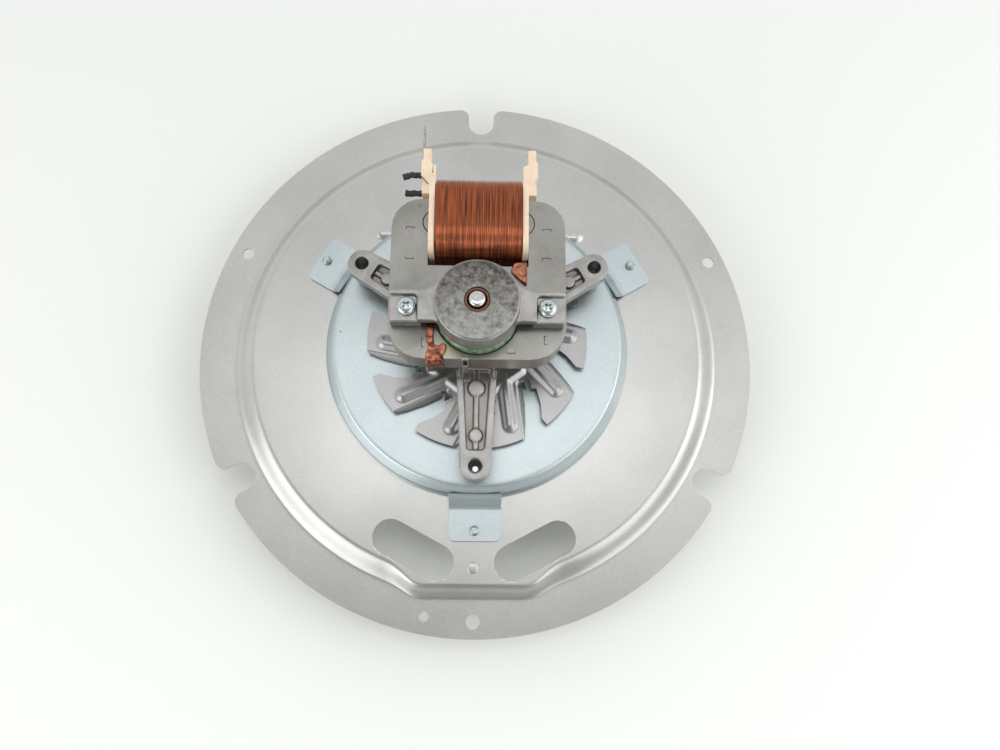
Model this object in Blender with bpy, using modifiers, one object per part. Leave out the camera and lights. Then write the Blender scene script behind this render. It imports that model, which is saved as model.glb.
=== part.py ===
# Convection fan of a range oven: a shaded pole motor, its back plate and both fan wheels.
# Metres, +Z along the shaft, away from the oven. The origin is on the shaft axis,
# in the plane that the impeller's blades stand on.

import math

import bmesh
import bpy
from mathutils import Matrix, Vector

# Fits
GAP = 0.0003
RUNNING_GAP = 0.00045

# Back plate
PLATE_SHEET = 0.0008
RIM_WIDTH = 0.0167
DISH_RISE = 0.005
DISH_SLOPE = 0.007
CROWN_MARGIN = 0.016
LOBE_FOOT_STEP = 0.0001
LOBE_CROWN_STEP = 0.0033
LOBE_CORNER = 0.0243
LOBE_WIDTH = 0.0345
PLATE_BORE = 0.009
SLOT_RADIUS = 0.0075
# Each slot's ends: how far to the side, how far in from the crown's edge
SLOT_INNER_END = (0.0160, 0.0073)
SLOT_OUTER_END = (0.0354, 0.0175)
BEAD_LENGTH = 0.0975
BEAD_PLACE = 0.0557
BEAD_HALF_WIDTH = 0.0037
BEAD_HEIGHT = 0.0012
NOTCH_ANGLES = (90, 210, 330)
NOTCH_HALF_WIDTH = 0.0061
NOTCH_DEPTH = 0.0139
NOTCH_LIP = 0.0042
# Each rim hole: its angle, how far in from the rim, its radius
RIM_HOLES = ((157.1, 0.0079, 0.0027), (22.7, 0.0071, 0.0027), (259.9, 0.0071, 0.00205),
             (269.9, 0.0071, 0.00295))

# Motor disc
DISC_SHEET = 0.0008
DISC_MARGIN = 0.00975
DISC_HEIGHT = 0.0084
DISC_SHOULDER = 0.00425
DISC_BORE = 0.0085
TAB_LENGTH = 0.01855
TAB_HALF_WIDTH = 0.0111
TAB_CORNER = 0.0026
TAB_SCREW_INSET = 0.0044
ARM_ANGLES = (30, 150, 270)

# Lower bracket
BOSS_CIRCLE = 0.057
BOSS_HEIGHT = 0.0187
BOSS_FOOT_RADIUS = 0.0046
BOSS_BORE = 0.0028
ARM_DEPTH = 0.006
ARM_ROOT_HALF_WIDTH = 0.0093
ARM_TIP_HALF_WIDTH = 0.0059
ARM_RAIL = 0.0026
ARM_POCKET_DEPTH = 0.0030
ARM_POCKET_START = 0.0175
ARM_POCKET_MARGIN = 0.0065
ARM_RIB_HALF_WIDTH = 0.0010
ARM_RIB_HEIGHT = 0.0016
EJECTOR_PADS = ((0.0249, 0.00345), (0.0445, 0.00275))
HUB_DEPTH = 0.0079
HUB_HEIGHT = 0.010
HUB_RADIUS = 0.0155
POST_RISE = 0.0061
POST_RADIUS = 0.005
BEAM_HALF_WIDTH = 0.0045
FINGER_LEFT = -0.0057
FINGER_WIDTH = 0.0027
FINGER_THICKNESS = 0.0024
FINGER_TOP = 0.0050

# Stator
STACK_THICKNESS = 0.0127
STACK_HALF_WIDTH = 0.035
STACK_FRONT = 0.0186
STACK_BACK = 0.049
STACK_FRONT_CORNER = 0.0145
STACK_BACK_CORNER = 0.012
WINDOW_HALF_WIDTH = 0.020
WINDOW_FRONT = 0.0202
CORE_PLACE = 0.0388
CORE_HALF_WIDTH = 0.007
KEY_RADIUS = 0.0051
KEY_PLACE = 0.01726
SLIT_START = 0.0006
SLIT_LENGTH = 0.0028
SLIT_REACH = 0.0200

# Coil
BOBBIN_WALL = 0.0011
FLANGE_THICKNESS = 0.0022
FLANGE_RISE = 0.0082
FLANGE_CORNER = 0.005
COIL_BUILD = 0.0081
COIL_CORNER = 0.0075
EAR_THICKNESS = 0.006
EAR_RISE = 0.0023
EAR_OVERLAP = 0.0023
TERMINAL_THICKNESS = 0.0008
TERMINAL_WIDTH = 0.0048
TERMINAL_START = 0.0168
TERMINAL_LENGTH = 0.0154
SLEEVE_RADIUS = 0.0014
# Each ear's edge: how far out from the window's side, how far back from the ear's front, corner radius
EAR_EDGE = ((-0.0019, 0, 0), (0.0036, 0, 0), (0.0036, 0.0045, 0), (0.0022, 0.0060, 0),
            (0.0041, 0.0085, 0), (0.0041, 0.0160, 0), (0.0034, 0.0170, 0), (0.0034, 0.0217, 0.0003),
            (0.0002, 0.0217, 0.0003), (0.0002, 0.0152, 0), (-0.0019, 0.0140, 0.0008))
# Each sleeve's middle line: how far out from the ear's side, how far back from the ear's front
SLEEVE_ROUTES = {
    "lead_sleeve_upper": ((0.0005, 0.0090), (0.0029, 0.0091), (0.0053, 0.0087), (0.0079, 0.0076)),
    "lead_sleeve_lower": ((0, 0.0016), (0.0019, 0.0018), (0.0041, 0.0015), (0.0065, 0.0013)),
}

# Shading rings
STRAP_WIDTH = 0.0027
STRAP_THICKNESS = 0.0012
STRAP_INNER_FACE = 0.0169
CRIMP_RISE = 0.0005
# The crimps' edges: how far out from the strap's inner face, how far past the iron, corner radius
LEFT_CRIMP = ((0.0027, 0.0030, 0.0008), (-0.0006, 0.0036, 0), (-0.0011, 0.0022, 0), (-0.0016, 0.0036, 0),
              (-0.0047, 0.0028, 0.0008), (-0.0041, -0.0010, 0.0006), (-0.0051, -0.0028, 0.0008),
              (-0.0034, -0.0036, 0.0006), (0.0003, -0.0030, 0), (0.0027, -0.0005, 0.0006))
RIGHT_CRIMP = ((0.0003, -0.0084, 0), (0.0029, -0.0084, 0), (0.0027, 0.0013, 0.0006),
               (-0.0011, 0.0013, 0.0006), (-0.0013, -0.0022, 0.0008))
FOLD_START = -0.0043
FOLD_END = 0.0024
FOLD_THICKNESS = 0.0026
FOLD_DROP = 0.0044

# Upper bracket
PAD_HEIGHT = 0.0064
PAD_INNER = 0.0214
PAD_OUTER = 0.0339
PAD_FRONT = 0.0058
PAD_BACK = 0.0066
WEB_RISE = 0.0018
WEB_THICKNESS = 0.0035
POCKET_WALL = 0.0020
POCKET_INNER = 0.0229
POCKET_CORNER = 0.0015
PAD_CORNER = 0.0006
NECK_FRONT = 0.0143
NECK_FRONT_RADIUS = 0.0045
NECK_BACK = Vector((0.0165, 0.0086))
NECK_BACK_RADIUS = 0.006
WEB_BACK_RADIUS = 0.004
WEB_FRONT_ANGLE = -50.2
WEB_BACK_ANGLE = 48.8
WEB_BACK_SPREAD = 0.0028
CAP_RISE = 0.0098
CAP_RADIUS = 0.0162
CAP_WALL = 0.003
CAP_CROWN = 0.0025
CAP_EDGE = 0.0008

# Bearings and shaft
SHAFT_RADIUS = 0.0033
SHAFT_PROUD = 0.0012
THREAD_RADIUS = 0.0025
THREAD_LENGTH = 0.0130
BALL_RADIUS = 0.0065
BALL_DEPTH = 0.005
BALL_HALF_LENGTH = 0.0046
FELT_THICKNESS = 0.005
RETAINER_SHEET = 0.0008
COLLAR_RADIUS = 0.0055

# Rotor
ROTOR_BORE_RADIUS = 0.01675
ROTOR_OVERHANG = 0.0018
END_RING_INSET = 0.0005

# Cooling fan
FAN_SHEET = 0.0007
FAN_GAP = 0.004
FAN_BLADES = 10
FAN_CLEARANCE = 0.0093
FAN_EMBOSS = 0.0018
RIB_HALF_WIDTH = 0.0027
RIB_RISE = 0.0016
RIB_FLANK = 0.0010
# One blade's edge, its rib and the hub's raised disc, as shares of the tip's radius
BLADE_TIP_ANGLES = (-14.9, -9, -3, 3, 8)
BLADE_LEADING_EDGE = ((0.612, -0.105), (0.698, -0.050), (0.813, -0.138), (0.897, -0.241))
BLADE_TRAILING_ROOT = (0.549, 0.197)
RIB_START = (0.377, 0.130)
RIB_END = (0.855, 0.042)
PLATEAU_SHARE = 0.514
PLATEAU_FLANK = 0.0018
FLANGE_DROP = 0.0016
FLANGE_REACH = 0.0016
FAN_BUSH_RADIUS = 0.0065
FAN_BUSH_LENGTH = 0.0042
FAN_CLIP_RADIUS = 0.0075

# Impeller
IMPELLER_RADIUS = 0.075
IMPELLER_SHEET = 0.0008
IMPELLER_BLADES = 8
IMPELLER_BLADE_HEIGHT = 0.022
IMPELLER_BLADE_ROOT = 0.046
IMPELLER_GAP = 0.0054
IMPELLER_WINDOW = 24.0
WASHER_RADIUS = 0.0075
WASHER_THICKNESS = 0.0012
NUT_RADIUS = 0.0052
NUT_HEIGHT = 0.0045

# Screws
SCREW_RADIUS = 0.002
SCREW_HEAD_RADIUS = 0.0037
SCREW_HEAD_HEIGHT = 0.0023
SCREW_RECESS = 0.0011
DISC_SCREW_PROUD = 0.0025
MOTOR_SCREW_REACH = 0.0105
BRACKET_SCREW_PLACE = 0.0271
BRACKET_SCREW_REACH = 0.0068

# Radii, from the bosses out to the rim
discRadius = BOSS_CIRCLE + DISC_MARGIN
tabReach = discRadius + TAB_LENGTH
tabScrewCircle = tabReach - TAB_SCREW_INSET
crownRadius = tabReach + CROWN_MARGIN
footRadius = crownRadius + DISH_SLOPE
rimRadius = footRadius + RIM_WIDTH
fanTip = BOSS_CIRCLE - FAN_CLEARANCE
armPocketEnd = BOSS_CIRCLE - ARM_POCKET_MARGIN

# Heights, from the plane under the impeller's blades up
impellerTop = IMPELLER_BLADE_HEIGHT + IMPELLER_SHEET
crownTop = impellerTop + IMPELLER_GAP + PLATE_SHEET
rimTop = crownTop - DISH_RISE
tabBottom = crownTop + GAP
discEdge = crownTop + BEAD_HEIGHT + GAP
discTop = crownTop + DISC_HEIGHT
fanTop = discTop + FAN_GAP
armTop = discTop + GAP + BOSS_HEIGHT
stackBottom = armTop + POST_RISE + GAP
stackTop = stackBottom + STACK_THICKNESS
stackMiddle = (stackBottom + stackTop) / 2
padBottom = stackTop + GAP
padTop = padBottom + PAD_HEIGHT
webTop = padTop + WEB_RISE
capTop = padTop + CAP_RISE
hubBottom = armTop - HUB_DEPTH
upperBallPlace = capTop - BALL_DEPTH
lowerBallPlace = hubBottom + BALL_DEPTH
rotorBottom = stackBottom - ROTOR_OVERHANG
rotorTop = stackTop + ROTOR_OVERHANG

MATERIALS = {
    "galvanised sheet": ((0.55, 0.55, 0.53), 0.38, 1.0),
    "zinc plated sheet": ((0.51, 0.57, 0.59), 0.34, 1.0),
    "die-cast alloy": ((0.38, 0.36, 0.34), 0.45, 1.0),
    "lamination steel": ((0.30, 0.30, 0.28), 0.50, 1.0),
    "bright steel": ((0.60, 0.60, 0.60), 0.20, 1.0),
    "enamelled copper": ((0.32, 0.09, 0.03), 0.35, 0.6),
    "bare copper": ((0.60, 0.22, 0.12), 0.35, 1.0),
    "bobbin plastic": ((0.85, 0.68, 0.46), 0.55, 0.0),
    "black sleeving": ((0.02, 0.02, 0.02), 0.60, 0.0),
    "tinned brass": ((0.52, 0.50, 0.46), 0.30, 1.0),
    "bronze": ((0.34, 0.17, 0.11), 0.40, 1.0),
    "oiled felt": ((0.55, 0.50, 0.40), 0.95, 0.0),
    "green lacquer": ((0.12, 0.25, 0.12), 0.40, 0.2),
}


def clearScene():
    for item in list(bpy.data.objects):
        bpy.data.objects.remove(item, do_unlink=True)
    parts = bpy.data.collections.new("range_fan")
    cutters = bpy.data.collections.new("cutters")
    bpy.context.scene.collection.children.link(parts)
    bpy.context.scene.collection.children.link(cutters)
    return parts, cutters


def materialOf(name):
    found = bpy.data.materials.get(name)
    if found:
        return found
    colour, roughness, metallic = MATERIALS[name]
    found = bpy.data.materials.new(name)
    found.use_nodes = True
    shader = found.node_tree.nodes["Principled BSDF"]
    shader.inputs["Base Color"].default_value = (*colour, 1)
    shader.inputs["Roughness"].default_value = roughness
    shader.inputs["Metallic"].default_value = metallic
    return found


def addObject(name, mesh, material=None):
    item = bpy.data.objects.new(name, mesh)
    if material:
        mesh.materials.append(materialOf(material))
        partsCollection.objects.link(item)
    else:
        cuttersCollection.objects.link(item)
        item.hide_render = True
        item.display_type = "WIRE"
    return item


# Applies every modifier, so that later Booleans start from a plain mesh
def settle(item):
    graph = bpy.context.evaluated_depsgraph_get()
    mesh = bpy.data.meshes.new_from_object(item.evaluated_get(graph))
    item.modifiers.clear()
    item.data = mesh
    return item


def boolean(target, tools, operation, solver):
    for tool in tools:
        step = target.modifiers.new(operation.title(), "BOOLEAN")
        step.operation = operation
        step.solver = solver
        step.object = tool
    return target


def cut(target, *tools, solver="EXACT"):
    return boolean(target, tools, "DIFFERENCE", solver)


def join(target, *tools, solver="EXACT"):
    return boolean(target, tools, "UNION", solver)


def smooth(item, angle=32):
    item.data.shade_smooth()
    item.data.set_sharp_from_angle(angle=math.radians(angle))
    return item


def polar(radius, degrees, z=None):
    x = radius * math.cos(math.radians(degrees))
    y = radius * math.sin(math.radians(degrees))
    return Vector((x, y)) if z is None else Vector((x, y, z))


def turn(item, degrees):
    item.rotation_euler.z = math.radians(degrees)
    return item


# A closed outline from corners (x, y, radius), each rounded by an arc
def rounded(corners, steps=4):
    points = []
    for index, (x, y, radius) in enumerate(corners):
        corner = Vector((x, y))
        before = (Vector(corners[index - 1][:2]) - corner).normalized()
        after = (Vector(corners[(index + 1) % len(corners)][:2]) - corner).normalized()
        if radius <= 0:
            points.append(corner)
            continue
        half = before.angle(after) / 2
        centre = corner + (before + after).normalized() * radius / math.sin(half)
        start = corner + before * radius / math.tan(half) - centre
        end = corner + after * radius / math.tan(half) - centre
        sweep = -start.angle_signed(end)
        for step in range(steps + 1):
            points.append(centre + Matrix.Rotation(sweep * step / steps, 2) @ start)
    return points


def circle(radius, count, centre=(0, 0)):
    return [Vector(centre) + polar(radius, 360 * step / count) for step in range(count)]


# A slot outline round a straight line, with round ends
def capsule(start, end, radius, steps=6):
    along = (end - start).normalized()
    side = Vector((-along.y, along.x))
    points = []
    for centre, first, second in ((end, -side, along), (start, side, -along)):
        for step in range(steps + 1):
            angle = math.pi * step / steps
            points.append(centre + first * radius * math.cos(angle) + second * radius * math.sin(angle))
    return points


# A flat outline with holes, given a thickness from bottom to top
def prism(name, outlines, bottom, top, material=None):
    curve = bpy.data.curves.new(name, "CURVE")
    curve.dimensions = "2D"
    curve.fill_mode = "BOTH"
    curve.extrude = (top - bottom) / 2
    for outline in outlines:
        spline = curve.splines.new("POLY")
        spline.points.add(len(outline) - 1)
        for point, place in zip(spline.points, outline):
            point.co = (place[0], place[1], 0, 1)
        spline.use_cyclic_u = True
    guide = bpy.data.objects.new(name + "_outline", curve)
    bpy.context.scene.collection.objects.link(guide)
    graph = bpy.context.evaluated_depsgraph_get()
    mesh = bpy.data.meshes.new_from_object(guide.evaluated_get(graph))
    bpy.data.objects.remove(guide, do_unlink=True)
    shape = bmesh.new()
    shape.from_mesh(mesh)
    bmesh.ops.remove_doubles(shape, verts=shape.verts, dist=1e-6)
    bmesh.ops.recalc_face_normals(shape, faces=shape.faces)
    shape.to_mesh(mesh)
    shape.free()
    item = addObject(name, mesh, material)
    item.location.z = (bottom + top) / 2
    return item


# A box between two corners
def block(name, low, high, material=None):
    shape = bmesh.new()
    size = [b - a for a, b in zip(low, high)]
    middle = [(a + b) / 2 for a, b in zip(low, high)]
    matrix = Matrix.Translation(middle) @ Matrix.Diagonal((*size, 1))
    bmesh.ops.create_cube(shape, size=1, matrix=matrix)
    mesh = bpy.data.meshes.new(name)
    shape.to_mesh(mesh)
    shape.free()
    return addObject(name, mesh, material)


# A cylinder or a cone standing on the plane z = bottom
def column(name, radius, bottom, top, place=(0, 0), topRadius=None, sides=24, material=None):
    shape = bmesh.new()
    matrix = Matrix.Translation((place[0], place[1], (bottom + top) / 2))
    bmesh.ops.create_cone(shape, cap_ends=True, segments=sides, radius1=radius,
                          radius2=radius if topRadius is None else topRadius,
                          depth=top - bottom, matrix=matrix)
    mesh = bpy.data.meshes.new(name)
    shape.to_mesh(mesh)
    shape.free()
    return addObject(name, mesh, material)


# A closed solid through loops of as many points each, with flat ends
def loft(name, loops, material=None):
    shape = bmesh.new()
    rows = [[shape.verts.new(point) for point in loop] for loop in loops]
    count = len(rows[0])
    for lower, upper in zip(rows, rows[1:]):
        for step in range(count):
            after = (step + 1) % count
            shape.faces.new((lower[step], lower[after], upper[after], upper[step]))
    shape.faces.new(rows[0][::-1])
    shape.faces.new(rows[-1])
    bmesh.ops.recalc_face_normals(shape, faces=shape.faces)
    mesh = bpy.data.meshes.new(name)
    shape.to_mesh(mesh)
    shape.free()
    return addObject(name, mesh, material)


# The smallest convex solid round some points
def hull(name, points, material=None):
    shape = bmesh.new()
    for point in points:
        shape.verts.new(point)
    bmesh.ops.convex_hull(shape, input=shape.verts)
    mesh = bpy.data.meshes.new(name)
    shape.to_mesh(mesh)
    shape.free()
    return addObject(name, mesh, material)


# A turned shape from (radius, z) points that run down its outer side
def turned(name, profile, sides=24, material=None, closed=True):
    mesh = bpy.data.meshes.new(name)
    points = [(radius, 0, z) for radius, z in profile]
    edges = [(step, step + 1) for step in range(len(points) - 1)]
    if closed:
        edges.append((len(points) - 1, 0))
    mesh.from_pydata(points, edges, [])
    item = addObject(name, mesh, material)
    screw = item.modifiers.new("Screw", "SCREW")
    screw.steps = sides
    screw.render_steps = sides
    screw.use_merge_vertices = True
    screw.merge_threshold = 1e-6
    return settle(item)


def ring(name, inner, outer, bottom, top, material, sides=16):
    profile = [(inner, top), (outer, top), (outer, bottom), (inner, bottom)]
    return smooth(turned(name, profile, sides, material))


# Radius of the dish's outline at an angle: a circle with a flat lobe at the front
def dishRadius(degrees, circleRadius, lobeReach):
    direction = polar(1, degrees)
    start = math.sqrt(circleRadius ** 2 - LOBE_WIDTH ** 2)
    across = abs(direction.x)
    down = -direction.y
    if down <= 0 or across / down > LOBE_WIDTH / start:
        return circleRadius
    flat = lobeReach / down
    slope = (lobeReach - start) / (LOBE_WIDTH - LOBE_CORNER)
    slanted = (start + slope * LOBE_WIDTH) / (down + slope * across)
    return max(circleRadius, min(flat, slanted))


def plateAngles():
    angles = [step * 6 for step in range(60)]
    angles += [angle for angle in range(248, 293, 2) if angle % 6]
    return sorted(angles)


def makeSlotCutter(side):
    inner = Vector((side * SLOT_INNER_END[0], SLOT_INNER_END[1] - crownRadius))
    outer = Vector((side * SLOT_OUTER_END[0], SLOT_OUTER_END[1] - crownRadius))
    outline = capsule(inner, outer, SLOT_RADIUS, 7)
    return prism("slot_cutter", [outline], rimTop, crownTop + PLATE_SHEET)


def makeNotchCutter(angle):
    half = NOTCH_HALF_WIDTH
    bottom = rimRadius - NOTCH_DEPTH
    edge = math.sqrt(rimRadius ** 2 - (half + NOTCH_LIP) ** 2)
    outline = rounded([
        (bottom, -half, half * 0.99), (bottom, half, half * 0.99),
        (edge, half, NOTCH_LIP), (edge, half + NOTCH_LIP * 1.05, 0),
        (rimRadius + NOTCH_LIP, half + NOTCH_LIP * 1.05, 0),
        (rimRadius + NOTCH_LIP, -half - NOTCH_LIP * 1.05, 0),
        (edge, -half - NOTCH_LIP * 1.05, 0), (edge, -half, NOTCH_LIP)], 5)
    return turn(prism("notch_cutter", [outline], rimTop - 2 * PLATE_SHEET, rimTop + PLATE_SHEET), angle)


# A pressed bead: what it adds above the sheet, and what it leaves hollow below
def makeBead(top):
    reach = BEAD_LENGTH / 2 - BEAD_HALF_WIDTH
    start = Vector((-reach, BEAD_PLACE))
    end = Vector((reach, BEAD_PLACE))
    made = []
    for drop in (0, PLATE_SHEET):
        wide = capsule(start, end, BEAD_HALF_WIDTH - drop / 2)
        narrow = capsule(start, end, BEAD_HALF_WIDTH / 2 - drop / 4)
        low = top - PLATE_SHEET / 2 if drop == 0 else top - 2 * PLATE_SHEET
        levels = ((wide, low), (wide, top - drop), (narrow, top - drop + BEAD_HEIGHT))
        made.append(loft("bead_form", [[(*point, z) for point in outline] for outline, z in levels]))
    return made


def makeBackPlate():
    angles = plateAngles()
    rise = ((0, 0), (0.27, 0.16), (0.5, 0.5), (0.73, 0.84), (1, 1))
    loops = [[polar(rimRadius, angle, rimTop) for angle in angles]]
    for share, height in rise:
        z = rimTop + height * DISH_RISE
        loop = []
        for angle in angles:
            foot = dishRadius(angle, footRadius, footRadius + LOBE_FOOT_STEP)
            crown = dishRadius(angle, crownRadius, crownRadius + LOBE_CROWN_STEP)
            loop.append(polar(foot + share * (crown - foot), angle, z))
        loops.append(loop)
    loops.append([polar(PLATE_BORE, angle, crownTop) for angle in angles])
    shape = bmesh.new()
    rows = [[shape.verts.new(point) for point in loop] for loop in loops]
    for outer, inner in zip(rows, rows[1:]):
        for step in range(len(angles)):
            after = (step + 1) % len(angles)
            shape.faces.new((outer[step], outer[after], inner[after], inner[step]))
    mesh = bpy.data.meshes.new("back_plate")
    shape.to_mesh(mesh)
    shape.free()
    plate = addObject("back_plate", mesh, "galvanised sheet")
    wall = plate.modifiers.new("Sheet", "SOLIDIFY")
    wall.thickness = PLATE_SHEET
    wall.offset = -1
    wall.use_even_offset = True
    settle(plate)
    bead, hollow = makeBead(crownTop)
    join(plate, bead)
    cut(plate, hollow)
    for side in (-1, 1):
        cut(plate, makeSlotCutter(side))
    for angle in NOTCH_ANGLES:
        cut(plate, makeNotchCutter(angle))
    for angle, inset, radius in RIM_HOLES:
        cut(plate, column("hole_cutter", radius, rimTop - 2 * PLATE_SHEET, rimTop + PLATE_SHEET,
                          polar(rimRadius - inset, angle), sides=16))
    for angle in ARM_ANGLES:
        cut(plate, column("hole_cutter", SCREW_RADIUS + GAP, rimTop, crownTop + PLATE_SHEET,
                          polar(tabScrewCircle, angle), sides=12))
    return smooth(settle(plate), 40)


def makeTab(angle):
    bend = discRadius + DISC_SHOULDER
    start = bend - DISC_SHEET
    plan = rounded([(start, -TAB_HALF_WIDTH, 0), (tabReach, -TAB_HALF_WIDTH, TAB_CORNER),
                    (tabReach, TAB_HALF_WIDTH, TAB_CORNER), (start, TAB_HALF_WIDTH, 0)])
    tab = turn(prism("tab_form", [plan], tabBottom, tabBottom + DISC_SHEET), angle)
    low = discTop - DISC_SHOULDER
    web = []
    for y in (-TAB_HALF_WIDTH * 0.999, TAB_HALF_WIDTH * 0.999):
        wall = discRadius - DISC_SHEET / 2
        web += [(wall, y, low), (wall, y, low - DISC_SHEET * 1.3)]
        web += [(bend, y, tabBottom + DISC_SHEET * 0.95), (bend - DISC_SHEET, y, tabBottom + DISC_SHEET * 0.05)]
    return tab, turn(hull("web_form", web), angle)


def makeMotorDisc():
    flat = discRadius - DISC_SHOULDER
    low = discTop - DISC_SHOULDER
    outer = [(DISC_BORE, discTop)]
    inner = [(DISC_BORE, discTop - DISC_SHEET)]
    for degrees in (90, 55, 20, 0):
        for side, radius in ((outer, DISC_SHOULDER), (inner, DISC_SHOULDER - DISC_SHEET)):
            side.append((flat + radius * math.cos(math.radians(degrees)),
                         low + radius * math.sin(math.radians(degrees))))
    outer.append((discRadius, discEdge))
    inner.append((discRadius - DISC_SHEET, discEdge))
    disc = turned("motor_disc", outer + inner[::-1], 60, "zinc plated sheet")
    for angle in ARM_ANGLES:
        join(disc, *makeTab(angle))
    for angle in ARM_ANGLES:
        place = polar(tabScrewCircle, angle)
        cut(disc, column("hole_cutter", SCREW_RADIUS + GAP, crownTop, discTop, place, sides=12))
        place = polar(BOSS_CIRCLE, angle)
        cut(disc, column("hole_cutter", SCREW_RADIUS + GAP, discTop - 2 * DISC_SHEET,
                         discTop + DISC_SHEET, place, sides=12))
    return smooth(settle(disc), 40)


# A pan head screw with a cross recess, its head's underside at the origin and its shank down
def makeScrew(name, reach, place, headUp=True, sides=10):
    head = SCREW_HEAD_RADIUS
    tall = SCREW_HEAD_HEIGHT
    profile = [(0, tall), (head * 0.7, tall * 0.88), (head, tall * 0.35), (head, 0), (SCREW_RADIUS, 0),
               (SCREW_RADIUS, -reach + SCREW_RADIUS * 0.5), (SCREW_RADIUS * 0.6, -reach), (0, -reach)]
    item = turned(name, profile, sides, "bright steel", closed=False)
    for across in (0, 90):
        arm = block("recess_cutter", (-head * 0.62, -head * 0.13, tall - SCREW_RECESS),
                    (head * 0.62, head * 0.13, tall * 2))
        cut(item, turn(arm, across + 45))
    settle(item)
    if not headUp:
        item.data.transform(Matrix.Rotation(math.pi, 4, "X"))
    item.location = place
    return smooth(item)


def makeScrews():
    for number, angle in enumerate(ARM_ANGLES, 1):
        underPlate = polar(tabScrewCircle, angle, crownTop - PLATE_SHEET - GAP)
        reach = PLATE_SHEET + DISC_SHEET + 2 * GAP + DISC_SCREW_PROUD
        makeScrew("disc_screw_%d" % number, reach, underPlate, False)
        underDisc = polar(BOSS_CIRCLE, angle, discTop - DISC_SHEET - GAP)
        makeScrew("motor_screw_%d" % number, MOTOR_SCREW_REACH, underDisc, False)
    reach = PAD_HEIGHT + STACK_THICKNESS + 3 * GAP + BRACKET_SCREW_REACH
    for name, side in (("left", -1), ("right", 1)):
        makeScrew("bracket_screw_" + name, reach, (side * BRACKET_SCREW_PLACE, 0, padTop + GAP))


# Half width of an arm at a distance from the shaft
def armHalfWidth(distance):
    share = distance / BOSS_CIRCLE
    return ARM_ROOT_HALF_WIDTH + share * (ARM_TIP_HALF_WIDTH - ARM_ROOT_HALF_WIDTH)


def makeArm(angle):
    root = HUB_RADIUS - CAP_WALL * 0.75
    tip = BOSS_CIRCLE + ARM_TIP_HALF_WIDTH
    radius = ARM_TIP_HALF_WIDTH * 0.97
    plan = rounded([(root, -armHalfWidth(root), 0), (tip, -ARM_TIP_HALF_WIDTH, radius),
                    (tip, ARM_TIP_HALF_WIDTH, radius), (root, armHalfWidth(root), 0)])
    arm = prism("arm_form", [plan], armTop - ARM_DEPTH, armTop)
    boss = column("boss_form", BOSS_FOOT_RADIUS, discTop + GAP, armTop - ARM_DEPTH / 2,
                  (BOSS_CIRCLE, 0), ARM_TIP_HALF_WIDTH * 0.94, 16)
    return turn(arm, angle), turn(boss, angle)


def makeArmPocket(angle):
    near = armHalfWidth(ARM_POCKET_START) - ARM_RAIL
    far = armHalfWidth(armPocketEnd) - ARM_RAIL
    plan = rounded([(ARM_POCKET_START, -near, 0.0008), (armPocketEnd, -far, 0.0012),
                    (armPocketEnd, far, 0.0012), (ARM_POCKET_START, near, 0.0008)], 2)
    return turn(prism("pocket_cutter", [plan], armTop - ARM_POCKET_DEPTH, armTop + GAP), angle)


def makeArmRib(angle):
    floor = armTop - ARM_POCKET_DEPTH
    start = ARM_POCKET_START - ARM_RAIL / 2
    made = [block("rib_form", (start, -ARM_RIB_HALF_WIDTH, floor - ARM_RIB_HEIGHT / 2),
                  (armPocketEnd + ARM_RAIL / 2, ARM_RIB_HALF_WIDTH, floor + ARM_RIB_HEIGHT * 0.8))]
    for distance, radius in EJECTOR_PADS:
        made.append(column("pad_form", radius, floor - ARM_RIB_HEIGHT / 2, floor + ARM_RIB_HEIGHT,
                           (distance, 0), sides=12))
    return [turn(item, angle) for item in made]


# The seat for a self-aligning bearing: (radius, z) points on a ball a little larger than it
def ballSeat(place, levels):
    radius = BALL_RADIUS + GAP
    return [(math.sqrt(radius ** 2 - (z - place) ** 2), z) for z in levels]


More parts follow.
